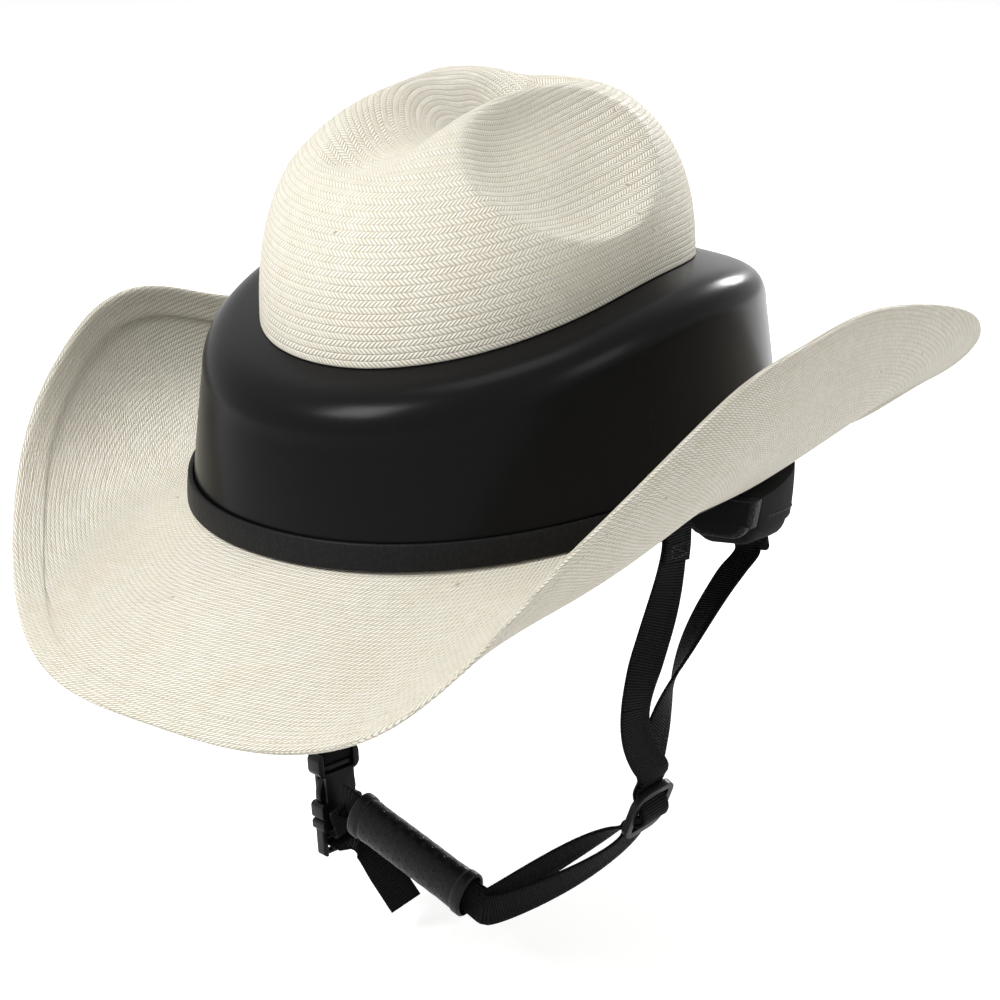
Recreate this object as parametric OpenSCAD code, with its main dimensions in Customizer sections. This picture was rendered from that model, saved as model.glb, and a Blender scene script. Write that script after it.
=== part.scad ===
// Western hat helmet: a riding helmet shell and foam liner built into a straw hat,
// with a four-point webbing harness, side-release buckle and padded chin sleeve.
// The front of the hat faces -Y, the wearer's left is +X, and the origin is the
// centre of the head opening, level with the rim. All sizes are in millimetres.

/* [Head opening] */
// Length of the head opening, front to back
head_l = 204; // [198:1:210]
// Width of the head opening, side to side
head_w = 164; // [158:1:170]
// Height of the head space above the rim
head_h = 118; // [112:1:120]
// Squareness of the oval that every layer follows (2 is an ellipse)
oval_n = 2.15; // [2.05:0.05:2.3]
// How far the rim rises at the sides and dips at the front and back
rim_sway = 3.4; // [0:0.2:5]

/* [Helmet layers] */
// Thickness of the sweatband
sweat_t = 2.4; // [1.8:0.2:3]
// Height of the sweatband above the rim
sweat_h = 30; // [24:1:32]
// Thickness of the comfort cushions inside the liner
cushion_t = 5; // [3:0.5:7]
// Thickness of the foam liner at the rim
liner_t = 22; // [20:1:25]
// Wall of the outer shell
shell_t = 2.6; // [2:0.2:3.2]
// Height of the top of the shell's dome, inside the crown
dome_top = 137; // [134:1:138]
// Height of the shell's shoulder at the front
shoulder_front = 57; // [52:1:60]
// Height of the shell's shoulder at the sides
shoulder_side = 87; // [82:1:88]
// Height of the shell's shoulder at the back
shoulder_back = 68; // [62:1:72]
// Rounding of the shell's shoulder
shoulder_r = 14; // [9:1:17]
// How far the shell's wall leans in between the rim and the shoulder
shell_draft = 6; // [3:0.5:8]
// Height of the moulded trim band round the rim
band_h = 11; // [8:0.5:14]
// Thickness of the trim band
band_t = 2; // [1.4:0.1:2.6]

/* [Crown] */
// Distance from the shell's outside to the foot of the crown at the front
seat_inset_front = 29.5; // [28:0.5:31]
// Distance from the shell's outside to the foot of the crown at the back
seat_inset_back = 34.5; // [33:0.5:36]
// Height of the crown's foot at the front
seat_front = 66; // [64:1:70]
// Height of the crown's foot at the sides
seat_side = 89; // [87:1:91]
// Height of the crown's foot at the back
seat_back = 80; // [78:1:84]
// Height of the crown before it is creased
crown_top = 165; // [163:1:172]
// Squareness of the crown's profile (2 is round)
crown_n = 2.5; // [2.4:0.1:3]
// Thickness of the woven straw
straw_t = 1.8; // [1.4:0.1:2.2]
// Depth of the crease along the middle of the crown
crease_depth = 23; // [10:1:24]
// Depth of the dents in the crown's sides
dent_depth = 14.5; // [6:0.5:16]

/* [Brim] */
// Length of the hat over the brim
brim_l = 421; // [408:1:435]
// Width of the hat over the curled brim
brim_w = 308; // [300:1:318]
// How far the middle of the brim lies behind the middle of the opening
brim_shift = 14; // [8:1:18]
// Squareness of the brim's outline in front (2 is an ellipse)
brim_n_front = 2.35; // [2.2:0.05:2.6]
// Squareness of the brim's outline behind
brim_n_back = 4.6; // [3.6:0.1:5.2]
// How much narrower the brim gets towards the back
brim_taper = 0.2; // [0.12:0.01:0.24]
// Height of the brim's edge at the front
edge_front = -53; // [-60:1:-40]
// Height of the brim's edge a quarter turn of the way from the front to the side
edge_front_quarter = -42; // [-50:1:-30]
// Height of the brim's edge at the front corners
edge_front_corner = 28; // [10:1:36]
// Height of the brim's edge in front of the sides
edge_fore_side = 68; // [55:1:75]
// Height of the brim's edge at the sides
edge_side = 77; // [65:1:85]
// Height of the brim's edge behind the sides
edge_aft_side = 75; // [65:1:85]
// Height of the brim's edge at the back corners
edge_back_corner = 52; // [40:1:62]
// Height of the brim's edge three quarters of the way from the side to the back
edge_back_quarter = 1; // [-10:1:15]
// Height of the brim's edge at the back
edge_back = -37; // [-42:1:-25]
// How much lower the right side of the brim's edge hangs than the left, behind its middle
edge_sag_right = 32; // [0:1:36]
// Bulge of the brim below the straight line to its edge, at the front (negative arches up)
bulge_front = -4; // [-8:0.5:2]
// Bulge of the brim at the front corners
bulge_front_corner = 20; // [10:0.5:24]
// Bulge of the brim at the sides
bulge_side = 11; // [5:0.5:16]
// Bulge of the brim at the back corners
bulge_back_corner = 8; // [3:0.5:12]
// Bulge of the brim at the back
bulge_back = -4; // [-8:0.5:2]
// Width of the hem that is folded back along the brim's edge
hem_w = 11; // [7:0.5:14]
// Thickness that the folded hem adds
hem_t = 0.9; // [0.5:0.1:1.4]

/* [Nape pad] */
// Angle from the front at which the nape pad starts, on each side
nape_start = 109; // [104:1:116]
// Thickness of the nape pad
nape_t = 26; // [20:1:28]
// Depth of the nape pad below the rim at its front ends
nape_end_drop = 26; // [20:1:30]
// Depth of the nape pad below the rim at the back
nape_back_drop = 46; // [38:1:52]

/* [Harness] */
// Width of the webbing
web_w = 15; // [14:0.5:15.5]
// Thickness of one layer of webbing
web_t = 1.5; // [1.2:0.1:1.8]
// Distance of the left strap glide below the rim
glide_drop_left = 138; // [130:1:146]
// Distance of the right strap glide below the rim
glide_drop_right = 98; // [94:1:102]
// Thickness of the strap glides
glide_t = 3; // [2.6:0.2:3.4]
// Distance of the buckle's parting line below the rim
buckle_drop = 166; // [163:1:169]
// Width of the buckle
buckle_w = 22; // [21.5:0.5:25]
// Thickness of the buckle
buckle_t = 8; // [8:0.5:9.5]
// Length of the buckle's socket
socket_l = 31; // [29:1:34]
// Length of the chin sleeve
sleeve_l = 67; // [60:1:72]
// Height of the chin sleeve's oval section at its hems
sleeve_h = 21.5; // [21:0.5:23]
// Thickness of the chin sleeve at its hems
sleeve_t = 15.5; // [14:0.5:17]
// Length of the loose webbing end below the buckle
tail_l = 31; // [24:1:40]

/* [Hidden] */

// Layer sizes, as half widths and half lengths of the common oval
head_a = head_w / 2;
head_b = head_l / 2;
layers_t = sweat_t + liner_t + shell_t;
rim_a = head_a + layers_t;
rim_b = head_b + layers_t;

// Clearances
seat_gap = 0.2;
cushion_gap = 0.6;
fit_gap = 0.4;
almost_one = 0.999999;

// Angle from the front at which the shell and the crown's foot stand highest
side_turn = 105;
// How much lower the rim lies at the front than at the back, halved
rim_tip = 1.2;

// Facets: stations round the hat, and across each surface
turns = 48;
crown_turns = 56;
brim_turns = 64;
brim_steps = 7;
dome_steps = 6;
crown_steps = 13;
sweep_steps = 3;

// Edge heights and bulges of the brim, at equal angles from the front to the back
edge_rise = [
  edge_front, edge_front_quarter, edge_front_corner, edge_fore_side, edge_side,
  edge_aft_side, edge_back_corner, edge_back_quarter, edge_back
];
bulges = [bulge_front, bulge_front_corner, bulge_side, bulge_back_corner, bulge_back];

// Rim ring under the brim, its screws and the strap anchors
ring_t = 2.6;
ring_inset = [3, 20];
screw_r = 3.2;
screw_h = 1.8;
screw_angles = [-66, -42, -16, 16, 42, 66];
anchor_angle = 96;
anchor_inset = 19;
anchor_size = [3, 20, 14];
loop_angle = 143;
loop_size = [4, 20, 7];

// Glides: position of the left one, with the right one given on the mirrored side
glide_left_at = [73, 12, -glide_drop_left];
glide_right_at = [76, -18, -glide_drop_right];
function glide_roll(side) = side > 0 ? 10 : -12;
function glide_lean(side) = side > 0 ? 28 : 8;
glide_slot = web_w + 1.2;
glide_rail = 3.4;
glide_reach = 13.8;
glide_bar = 4;
glide_mid_bar = 2.8;
layer_gap = 0.3;
layer_step = web_t + layer_gap;
glide_pass = glide_t / 2 + layer_step + 0.35;
glide_web_end = 15;
glide_edge = glide_reach - glide_bar;
glide_link_end = glide_edge + 1.2;

// Buckle: placed at its parting line, with its width turned to the webbing
buckle_at = [-70, -26, -buckle_drop];
buckle_turn = -8;
buckle_tilt = 3;
buckle_wall = 1.9;
tongue_w = 3.2;
tongue_l = 17;
prong_x = 6.9;
prong_t = 2.4;
prong_l = 19;
lug_z = [8.6, 16];
lug_reach = buckle_w / 2 - 0.9;
frame_l = 17.4;
frame_rail = 2.4;
bar_r = 1.6;
ladder_r = 1.4;
ladder_z = -9.8;
web_bar_z = socket_l - 3.2;

// Chin sleeve: its middle, its slope, and the roll of its oval
sleeve_at = [-15.8, -35.4, -167.2];
sleeve_slope = 18;
sleeve_roll = -4;
sleeve_bore = [web_w / 2 + 1.3, layer_step + 1.9];
sleeve_waist = 0.9;

// Degrees from the front, 0 to 180, whichever way round
function from_front(t) = acos(cos(t));

// Rule for a height given at the front, the sides and the back: two soft steps
function around(t, front, side, back) =
  let (d = from_front(t))
  d < side_turn ? mix(front, side, smooth_step(d / side_turn))
  : mix(side, back, smooth_step((d - side_turn) / (180 - side_turn)));

// Point of an oval with half width a and half length b, t degrees from the front
function oval(t, a, b, n = oval_n) =
  let (s = sin(t), c = cos(t), r = pow(pow(abs(s) / a, n) + pow(abs(c) / b, n), -1 / n))
  [r * s, -r * c];

// Point on the common oval, set in from the outside of the rim
function rim_oval(t, inset) = oval(t, rim_a - inset, rim_b - inset);

function rim_z(t) = -rim_tip * cos(t) - rim_sway * cos(2 * t);
function lift(p, z) = [p.x, p.y, z];
function mix(a, b, f) = a + (b - a) * f;
function unit(v) = v / norm(v);
function smooth_step(x) = let (f = min(max(x, 0), 1)) f * f * (3 - 2 * f);

// Point f of the way from b to c on the curve that passes through a, b, c and d
function curve(a, b, c, d, f) =
  0.5 * (2 * b + (c - a) * f + (2 * a - 5 * b + 4 * c - d) * f * f + (3 * b - a - 3 * c + d) * f * f * f);

// Points along a smooth curve through the given points or directions
function smooth(points, steps) =
  let (last = len(points) - 1)
  concat(
    [for (i = [0 : last - 1], k = [0 : steps - 1])
      curve(points[max(i - 1, 0)], points[i], points[i + 1], points[min(i + 2, last)], k / steps)],
    [points[last]]
  );

// Turns about Z and X, and the matching placement of a point
function turn_z(p, a) = [p.x * cos(a) - p.y * sin(a), p.x * sin(a) + p.y * cos(a), p.z];
function turn_x(p, a) = [p.x, p.y * cos(a) - p.z * sin(a), p.y * sin(a) + p.z * cos(a)];
function turn_y(p, a) = [p.x * cos(a) + p.z * sin(a), p.y, p.z * cos(a) - p.x * sin(a)];
function flip(p, side) = [p.x * side, p.y, p.z];

// Solid between consecutive loops of points. Loops run counter-clockwise seen from the
// way the stack grows. A closed stack joins its last loop to its first; an open one is
// closed by a fan from each end loop to its tip. Where paired is true, the second half of
// every loop is split the other way, so that both faces of a twisted strap match.
module skin(loops, closed = false, tips = [], paired = false) {
  m = len(loops[0]);
  n = len(loops);
  sides = [
    for (k = [0 : n - (closed ? 1 : 2)], i = [0 : m - 1])
      let (
        low = k * m, high = ((k + 1) % n) * m, next = (i + 1) % m,
        a = low + i, b = low + next, c = high + next, d = high + i
      )
      each paired && i >= m / 2 ? [[a, d, b], [d, c, b]] : [[a, d, c], [a, c, b]]
  ];
  caps = closed ? [] : concat(
    [for (i = [0 : m - 1]) [n * m, i, (i + 1) % m]],
    [for (i = [0 : m - 1]) [n * m + 1, (n - 1) * m + (i + 1) % m, (n - 1) * m + i]]
  );
  points = concat([for (l = loops) each l], tips);
  polyhedron(points, concat(sides, caps), convexity = 8);
}

function middle(loop) = [for (k = [0 : 2]) [for (p = loop) p[k]] * [for (p = loop) 1]] / len(loop);

// Open stack whose end fans meet at the middles of its end loops
module bar_skin(loops, paired = false) {
  skin(loops, tips = [middle(loops[0]), middle(loops[len(loops) - 1])], paired = paired);
}

// Ring solid from a section given at every angle t, counter-clockwise with r to the right
module ring_skin(sections, count = turns) {
  skin([for (s = [0 : len(sections[0]) - 1]) [for (i = [0 : count - 1]) sections[i][s]]], closed = true);
}

// Flat webbing along a path, with the direction of its width at every point
function ribbon_loop(p, along, across, w, t) =
  let (side = unit(across - (across * along) * along), face = cross(along, side))
  [
    p + side * w / 2 + face * t / 2, p - side * w / 2 + face * t / 2,
    p - side * w / 2 - face * t / 2, p + side * w / 2 - face * t / 2
  ];

module ribbon(path, across, w = web_w, t = web_t) {
  last = len(path) - 1;
  bar_skin([
    for (i = [0 : last])
      ribbon_loop(path[i], unit(path[min(i + 1, last)] - path[max(i - 1, 0)]), across[i], w, t)
  ], paired = true);
}

// Shell profile

function shoulder_z(t) = around(t, shoulder_front, shoulder_side, shoulder_back);
function seat_z(t) = around(t, seat_front, seat_side, seat_back);
inset_from = 60;
inset_over = 90;
function seat_inset(t) =
  mix(seat_inset_front, seat_inset_back, smooth_step((from_front(t) - inset_from) / inset_over));

// Lip that locates the foot of the crown
lip_h = 3.5;
lip_round = 0.4;
function lip_inset(t) = seat_inset(t) + straw_t + 2 * fit_gap;

// Outline of the shell at angle t, from the rim up to the crown's locating lip, as
// points [inset, z], moved inwards by off
function shell_profile(t, off) =
  let (
    top = shoulder_z(t), seat = seat_z(t), foot = rim_z(t) + seat_gap,
    turn_in = [shell_draft, top - shoulder_r],
    corner = [shell_draft, top],
    inset = seat_inset(t),
    lip = lip_inset(t),
    turn_out = [shell_draft + shoulder_r, mix(top, seat, shoulder_r / (inset - shell_draft))]
  )
  [
    [off, foot],
    [shell_draft / 2 + off, mix(foot, turn_in.y, 0.5)],
    for (f = [0 : 0.25 : 1])
      mix(mix(turn_in, corner, f), mix(corner, turn_out, f), f) + off * [cos(90 * f), -sin(90 * f)],
    [inset + off * lip_round, seat - off],
    [lip - lip_round + off, seat - off + lip_round / 2],
    [lip + off, seat + lip_h - off]
  ];

// Rings of the shell's surface moved inwards by off, from the rim to the top
function shell_rings(off) =
  let (profiles = [for (i = [0 : turns - 1]) shell_profile(i * 360 / turns, off)])
  concat(
    [for (k = [0 : len(profiles[0]) - 1]) [
      for (i = [0 : turns - 1])
        let (p = profiles[i][k]) lift(rim_oval(i * 360 / turns, p.x), p.y)
    ]],
    [for (k = [1 : dome_steps - 1]) [
      for (i = [0 : turns - 1])
        let (
          t = i * 360 / turns, rise = 90 * k / dome_steps, foot = seat_z(t) + lip_h, lip = lip_inset(t),
          p = oval(t, (rim_a - lip) * cos(rise) - off, (rim_b - lip) * cos(rise) - off)
        )
        lift(p, foot + (dome_top - foot) * sin(rise) - off)
    ]]
  );

function backwards(list) = [for (i = [len(list) - 1 : -1 : 0]) list[i]];

module outer_shell() {
  color([0.07, 0.07, 0.08])
    skin(
      concat(backwards(shell_rings(shell_t)), shell_rings(0)),
      tips = [[0, 0, dome_top - shell_t], [0, 0, dome_top]]
    );
}

// Head space

// Scale of the head space at height z: an ellipsoid over the head opening
function head_scale(z) = sqrt(max(1 - pow(max(z, 0) / head_h, 2), 0));
function head_oval(t, z, off) = oval(t, head_a * head_scale(z) + off, head_b * head_scale(z) + off);

// Straight taper of the sweatband and of the liner's ledge behind it
ledge_z = sweat_h + 1;
function ledge_scale(z) = mix(1, head_scale(ledge_z), z / ledge_z);
function ledge_oval(t, z, off) =
  lift(oval(t, head_a * ledge_scale(z) + off, head_b * ledge_scale(z) + off), z);

module foam_liner() {
  ledge = sweat_t + seat_gap;
  step = 0.6;
  angles = [for (i = [0 : turns - 1]) i * 360 / turns];
  rises = [for (k = [1 : dome_steps + 1]) mix(ledge_z + step, head_h, sin(90 * k / (dome_steps + 2)))];
  inner = concat(
    [[for (t = angles) ledge_oval(t, rim_z(t) + seat_gap, ledge)]],
    [[for (t = angles) ledge_oval(t, ledge_z, ledge)]],
    [[for (t = angles) lift(head_oval(t, ledge_z, 0), ledge_z + step)]],
    [for (z = rises) [for (t = angles) lift(head_oval(t, z, 0), z)]]
  );
  color([0.2, 0.2, 0.21])
    skin(
      concat(backwards(inner), shell_rings(shell_t + seat_gap)),
      tips = [[0, 0, head_h], [0, 0, dome_top - shell_t - seat_gap]]
    );
}

module sweatband() {
  edge = 0.3;
  full_z = sweat_h * 0.7;
  color([0.1, 0.1, 0.1])
    ring_skin([
      for (i = [0 : turns - 1])
        let (t = i * 360 / turns, foot = rim_z(t) - straw_t - 1)
        [
          ledge_oval(t, foot, edge), ledge_oval(t, foot, sweat_t - edge),
          ledge_oval(t, full_z, sweat_t), ledge_oval(t, sweat_h, sweat_t),
          ledge_oval(t, sweat_h, 2 * edge), ledge_oval(t, full_z, 0)
        ]
    ]);
}

// Comfort cushion on the liner between two angles and two heights, crowned inwards
module liner_cushion(from, to, low, high, steps) {
  end_share = 0.35;
  sections = [
    for (i = [0 : steps])
      let (
        t = mix(from, to, i / steps),
        bulge = mix(end_share, 1, sqrt(sin(180 * (i + end_share) / (steps + 2 * end_share))))
      )
      [
        for (q = [[1, 0], [0.5, 0], [0, 0], [0.04, 0.45], [0.3, 1], [0.7, 1], [0.96, 0.45]])
          let (z = mix(low, high, q.x))
          lift(head_oval(t, z, -cushion_gap - cushion_t * bulge * q.y), z)
      ]
  ];
  color([0.13, 0.13, 0.14]) bar_skin(sections);
}

// Angles that the cushions span, and their lower and upper edges above the sweatband
brow_span = [-44, 44];
brow_rise = [6, 30];
brow_steps = 12;
side_span = [58, 122];
side_rise = [8, 36];
side_steps = 8;

module brow_pad() {
  liner_cushion(brow_span[0], brow_span[1], sweat_h + brow_rise[0], sweat_h + brow_rise[1], brow_steps);
}
module side_pad_left() {
  liner_cushion(side_span[0], side_span[1], sweat_h + side_rise[0], sweat_h + side_rise[1], side_steps);
}
module side_pad_right() {
  liner_cushion(-side_span[1], -side_span[0], sweat_h + side_rise[0], sweat_h + side_rise[1], side_steps);
}

module crown_pad() {
  reach = 0.5;
  edge = 0.5;
  fractions = [0.16, 0.33, 0.46, reach];
  function cap_ring(f, drop) = [
    for (i = [0 : turns / 2 - 1])
      lift(oval(i * 720 / turns, head_a * f, head_b * f), head_h * sqrt(1 - f * f) - seat_gap - drop)
  ];
  color([0.13, 0.13, 0.14])
    skin(
      concat(
        [for (f = fractions) cap_ring(f * 0.97, edge + 0.1 + cushion_t * sqrt(1 - pow(f / reach, 2)))],
        [for (f = backwards(fractions)) cap_ring(f, edge)]
      ),
      tips = [[0, 0, head_h - seat_gap - cushion_t - edge - 0.1], [0, 0, head_h - seat_gap - edge]]
    );
}

// Crown

// Crease along the middle: its two ends, its spread, and how fast it fades past them
crease_y = [-70, 45];
crease_spread = 19;
crease_fade = 9;
// Dent in each side: the two ends of its middle line, its spread, and its pull in and down
dent_from = [60, -32, 163];
dent_to = [50, 0, 140];
dent_spread = 27;
dent_pull = [0.72, 0.6];

// Share of a dent's depth at a point: full on the dent's line, fading with the distance
function dent_share(p) =
  let (
    run = dent_to - dent_from,
    f = min(max(((p - dent_from) * run) / (run * run), 0), 1),
    d = norm(p - dent_from - f * run) / dent_spread
  )
  exp(-d * d);

function crease_share(p) =
  let (past = max(crease_y[0] - p.y, p.y - crease_y[1], 0) / crease_fade, d = p.x / crease_spread)
  exp(-d * d - past * past);

// Crown surface at angle t and rise u from 0 at the foot to 1 at the top, set in by off
function crown_point(t, u, off) =
  let (
    flat = pow(cos(90 * u), 2 / crown_n), tall = pow(sin(90 * u), 2 / crown_n),
    foot = seat_z(t) + 2 * seat_gap,
    out = rim_oval(t, seat_inset(t) + off) * flat,
    p = lift(out, foot + (crown_top - off - foot) * tall),
    crease = crease_share(p) * crease_depth * pow(tall, 4),
    dent = dent_share([abs(p.x), p.y, p.z]) * dent_depth
  )
  p - [sign(p.x) * dent * dent_pull[0], 0, crease + dent * dent_pull[1]];

function crown_ring(u, off) = [for (i = [0 : crown_turns - 1]) crown_point(i * 360 / crown_turns, u, off)];
function crown_tip(off) = crown_point(0, almost_one, off);

module crown_straw() {
  rises = [for (k = [0 : crown_steps - 1]) pow(k / crown_steps, 1.25)];
  color([0.91, 0.89, 0.83])
    skin(
      concat([for (u = backwards(rises)) crown_ring(u, straw_t)], [for (u = rises) crown_ring(u, 0)]),
      tips = [crown_tip(straw_t), crown_tip(0)]
    );
}

// Brim

// Value at angle t on a smooth curve through a list of values from the front to the back
function station(values, t) =
  let (last = len(values) - 1, f = from_front(t) / 180 * last, i = min(floor(f), last - 1))
  curve(values[abs(i - 1)], values[i], values[i + 1], values[last - abs(last - i - 2)], f - i);

// Extra drop of the right side: the angles over which it comes in, and over which it fades
sag_in = [56, 92];
sag_out = [110, 180];
function edge_sag(t) =
  let (
    d = from_front(t),
    rise = smooth_step((d - sag_in[0]) / (sag_in[1] - sag_in[0])),
    fade = smooth_step((d - sag_out[0]) / (sag_out[1] - sag_out[0]))
  )
  sin(t) < 0 ? edge_sag_right * rise * (1 - fade) : 0;

function edge_z(t) = station(edge_rise, t) - edge_sag(t);

function edge_point(t) =
  let (
    n = cos(t) > 0 ? brim_n_front : brim_n_back,
    p = oval(t, brim_w / 2, brim_l / 2, n)
  )
  [p.x * (1 - brim_taper * p.y / (brim_l / 2)), p.y + brim_shift, edge_z(t)];

// Upper face of the brim, s of the way from the rim to the edge, raised by up
function brim_point(t, s, up) =
  let (
    from = lift(rim_oval(t, 0), rim_z(t)), to = edge_point(t),
    reach = norm([to.x - from.x, to.y - from.y]), out = [to.x - from.x, to.y - from.y] / reach,
    chord = atan2(to.z - from.z, reach),
    bulge = station(bulges, t),
    bow = 4 * bulge * s * (1 - s),
    slope = chord - atan(4 * bulge * (1 - 2 * s) / norm([reach, to.z - from.z])),
    h = reach * s + bow * sin(chord) - up * sin(slope),
    z = mix(from.z, to.z, s) - bow * cos(chord) + up * cos(slope)
  )
  [from.x + out.x * h, from.y + out.y * h, z];

function hem_start(t) = 1 - hem_w / norm(edge_point(t) - lift(rim_oval(t, 0), rim_z(t)));

// How far the brim's upper face has risen at a distance outside the rim
function brim_rise(t, out) =
  let (first = brim_point(t, hem_start(t) / brim_steps, 0), from = lift(rim_oval(t, 0), rim_z(t)))
  max(out * (first.z - from.z) / norm([first.x - from.x, first.y - from.y]), 0) + seat_gap;

module brim_straw() {
  inner_gap = sweat_t + 2 * fit_gap;
  sections = [
    for (i = [0 : brim_turns - 1])
      let (
        t = i * 360 / brim_turns, hem = hem_start(t),
        inner = oval(t, head_a + inner_gap, head_b + inner_gap)
      )
      concat(
        [lift(inner, rim_z(t) - straw_t), lift(rim_oval(t, 0), rim_z(t) - straw_t)],
        [for (k = [1 : brim_steps]) brim_point(t, k / brim_steps * 0.995, -straw_t)],
        [brim_point(t, 1, -straw_t / 2), brim_point(t, 0.99, hem_t), brim_point(t, hem + 0.01, hem_t)],
        [for (k = [brim_steps - 1 : -1 : 1]) brim_point(t, k / brim_steps * hem, 0)],
        [lift(rim_oval(t, 0), rim_z(t)), lift(inner, rim_z(t))]
      )
  ];
  color([0.91, 0.89, 0.83]) ring_skin(sections, brim_turns);
}

// Trim band round the foot of the shell
module shell_trim_band() {
  lean = 0.8 * shell_draft / (shoulder_side - shoulder_r);
  color([0.1, 0.1, 0.1])
    ring_skin([
      for (i = [0 : turns - 1])
        let (t = i * 360 / turns, foot = rim_z(t) + seat_gap * 2)
        [
          for (q = [
            [-seat_gap, 0], [-band_t, brim_rise(t, band_t)], [-band_t, band_h * 0.8],
            [-band_t * 0.7, band_h], [-seat_gap, band_h]
          ])
            lift(rim_oval(t, q.x + q.y * lean), foot + q.y)
        ]
    ]);
}

// Ring under the brim that clamps the straw to the shell and carries the straps
module rim_ring() {
  bevel = 0.8;
  color([0.12, 0.12, 0.13])
    ring_skin([
      for (i = [0 : turns - 1])
        let (t = i * 360 / turns, top = rim_z(t) - straw_t - seat_gap)
        [
          lift(rim_oval(t, ring_inset[1]), top - ring_t),
          lift(rim_oval(t, ring_inset[0] + bevel), top - ring_t),
          lift(rim_oval(t, ring_inset[0]), top - bevel), lift(rim_oval(t, ring_inset[0]), top),
          lift(rim_oval(t, ring_inset[1]), top)
        ]
    ]);
}

function ring_under(t) = rim_z(t) - straw_t - seat_gap - ring_t;

module rim_screws() {
  inset = (ring_inset[0] + ring_inset[1]) / 2;
  color([0.35, 0.35, 0.37])
    for (t = screw_angles)
      translate(lift(rim_oval(t, inset), ring_under(t) - screw_h - fit_gap))
        difference() {
          cylinder(h = screw_h, r = screw_r, $fn = 32);
          translate([0, 0, -1]) cylinder(h = 2, r = screw_r * 0.4, $fn = 6);
        }
}

// Nape pad

// How far the pad stands out past the rim, at its top and at its bottom
nape_out_top = 6;
nape_out_low = 2.5;
nape_round = 5;

// Underside of the nape pad at angle t, with rounded front corners
function nape_low(t) =
  let (
    from_end = min(t, 360 - t) - nape_start,
    corner = 1 - min(max(from_end / 3, 0), 1),
    drop = mix(nape_end_drop, nape_back_drop, smooth_step((from_end + 6) / 66))
  )
  rim_z(t) - drop + nape_round * (1 - sqrt(1 - corner * corner));

// Section of the nape pad at angle t, grown by extra on every side
function nape_section(t, extra) =
  let (top = ring_under(t) - seat_gap, low = nape_low(t) - extra)
  [
    for (q = [
      [nape_t, 0, 1], [0, 0, 1], [0, 0, 0.5], [0.4, 8, 0], [2.4, 2.6, 0], [6.5, 0, 0],
      [nape_t - 7, 0, 0], [nape_t - 2, 3.5, 0], [nape_t, 9, 0]
    ])
      let (edge = q.x < nape_t / 2 ? -extra : extra, out = mix(nape_out_low, nape_out_top, q.z))
      lift(rim_oval(t, q.x + edge - out), mix(low + q.y, top, q.z))
  ];

module nape_pad() {
  steps = 26;
  color([0.09, 0.09, 0.1])
    bar_skin([for (i = [0 : steps]) nape_section(mix(nape_start, 360 - nape_start, i / steps), 0)]);
}

// Textured strip sewn round each front end of the nape pad
module nape_binding(side) {
  color([0.16, 0.16, 0.16])
    mirror([side < 0 ? 1 : 0, 0, 0])
      bar_skin([for (d = [3.2, 2.4, 0.15]) nape_section(nape_start - d, d > 3 ? -0.4 : 0.4)]);
}
module nape_binding_left() { nape_binding(1); }
module nape_binding_right() { nape_binding(-1); }

// Harness anchors

function anchor_top(side) =
  flip(lift(rim_oval(anchor_angle, anchor_inset), ring_under(anchor_angle) - seat_gap), side);

module strap_anchor(side) {
  color([0.14, 0.14, 0.15])
    mirror([side < 0 ? 1 : 0, 0, 0])
      translate(anchor_top(1))
        difference() {
          translate([-anchor_size.x - 1, -anchor_size.y / 2, -anchor_size.z]) cube(anchor_size);
          for (y = [-5, 5])
            translate([-2 * anchor_size.x, y, -anchor_size.z / 2])
              rotate([0, 90, 0])
                cylinder(h = 3 * anchor_size.x, r = 1.6, $fn = 24);
        }
}
module strap_anchor_left() { strap_anchor(1); }
module strap_anchor_right() { strap_anchor(-1); }

loop_inset = 11;
loop_turn = 70;
function loop_foot(t) = lift(rim_oval(t, loop_inset), nape_low(t));
loop_slope =
  let (run = loop_foot(loop_angle + 4) - loop_foot(loop_angle - 4))
  atan(-run.z / norm([run.x, run.y]));
function along_loop(q, side) = flip(turn_z(turn_x(q, -loop_slope), loop_turn), side);
function at_loop(q, side) = flip(loop_foot(loop_angle) - [0, 0, fit_gap], side) + along_loop(q, side);

module strap_loop(side) {
  r = loop_size.x / 2;
  color([0.08, 0.08, 0.08])
    translate(at_loop([0, 0, 0], side))
      mirror([side < 0 ? 1 : 0, 0, 0])
        rotate([0, 0, loop_turn])
          rotate([-loop_slope, 0, 0])
            translate([0, loop_size.y / 2, -loop_size.z])
              rotate([90, 0, 0])
                linear_extrude(loop_size.y) {
                  translate([0, r]) circle(r = r, $fn = 24);
                  translate([-r, r]) square([loop_size.x, loop_size.z - r]);
                }
}
module strap_loop_left() { strap_loop(1); }
module strap_loop_right() { strap_loop(-1); }

// Placement of the glides and the buckle

function along_glide(q, side) = flip(turn_y(turn_x(q, glide_roll(side)), glide_lean(side)), side);
function glide_at(side) = flip(side > 0 ? glide_left_at : glide_right_at, side);
function at_glide(q, side) = glide_at(side) + along_glide(q, side);

module place_glide(side) {
  translate(glide_at(side))
    mirror([side < 0 ? 1 : 0, 0, 0])
      rotate([0, glide_lean(side), 0])
        rotate([glide_roll(side), 0, 0])
          children();
}

function along_buckle(q) = turn_z(turn_x(q, buckle_tilt), buckle_turn);
function at_buckle(q) = buckle_at + along_buckle(q);

module place_buckle() {
  translate(buckle_at) rotate([0, 0, buckle_turn]) rotate([buckle_tilt, 0, 0]) children();
}

// Upper straps: from the anchor and the nape loop down to the top of the glide

glide_across = [0, 1, 0];
glide_look = [1, 0, 0];
anchor_clear = -0.6;
strap_lead = 5;

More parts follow.
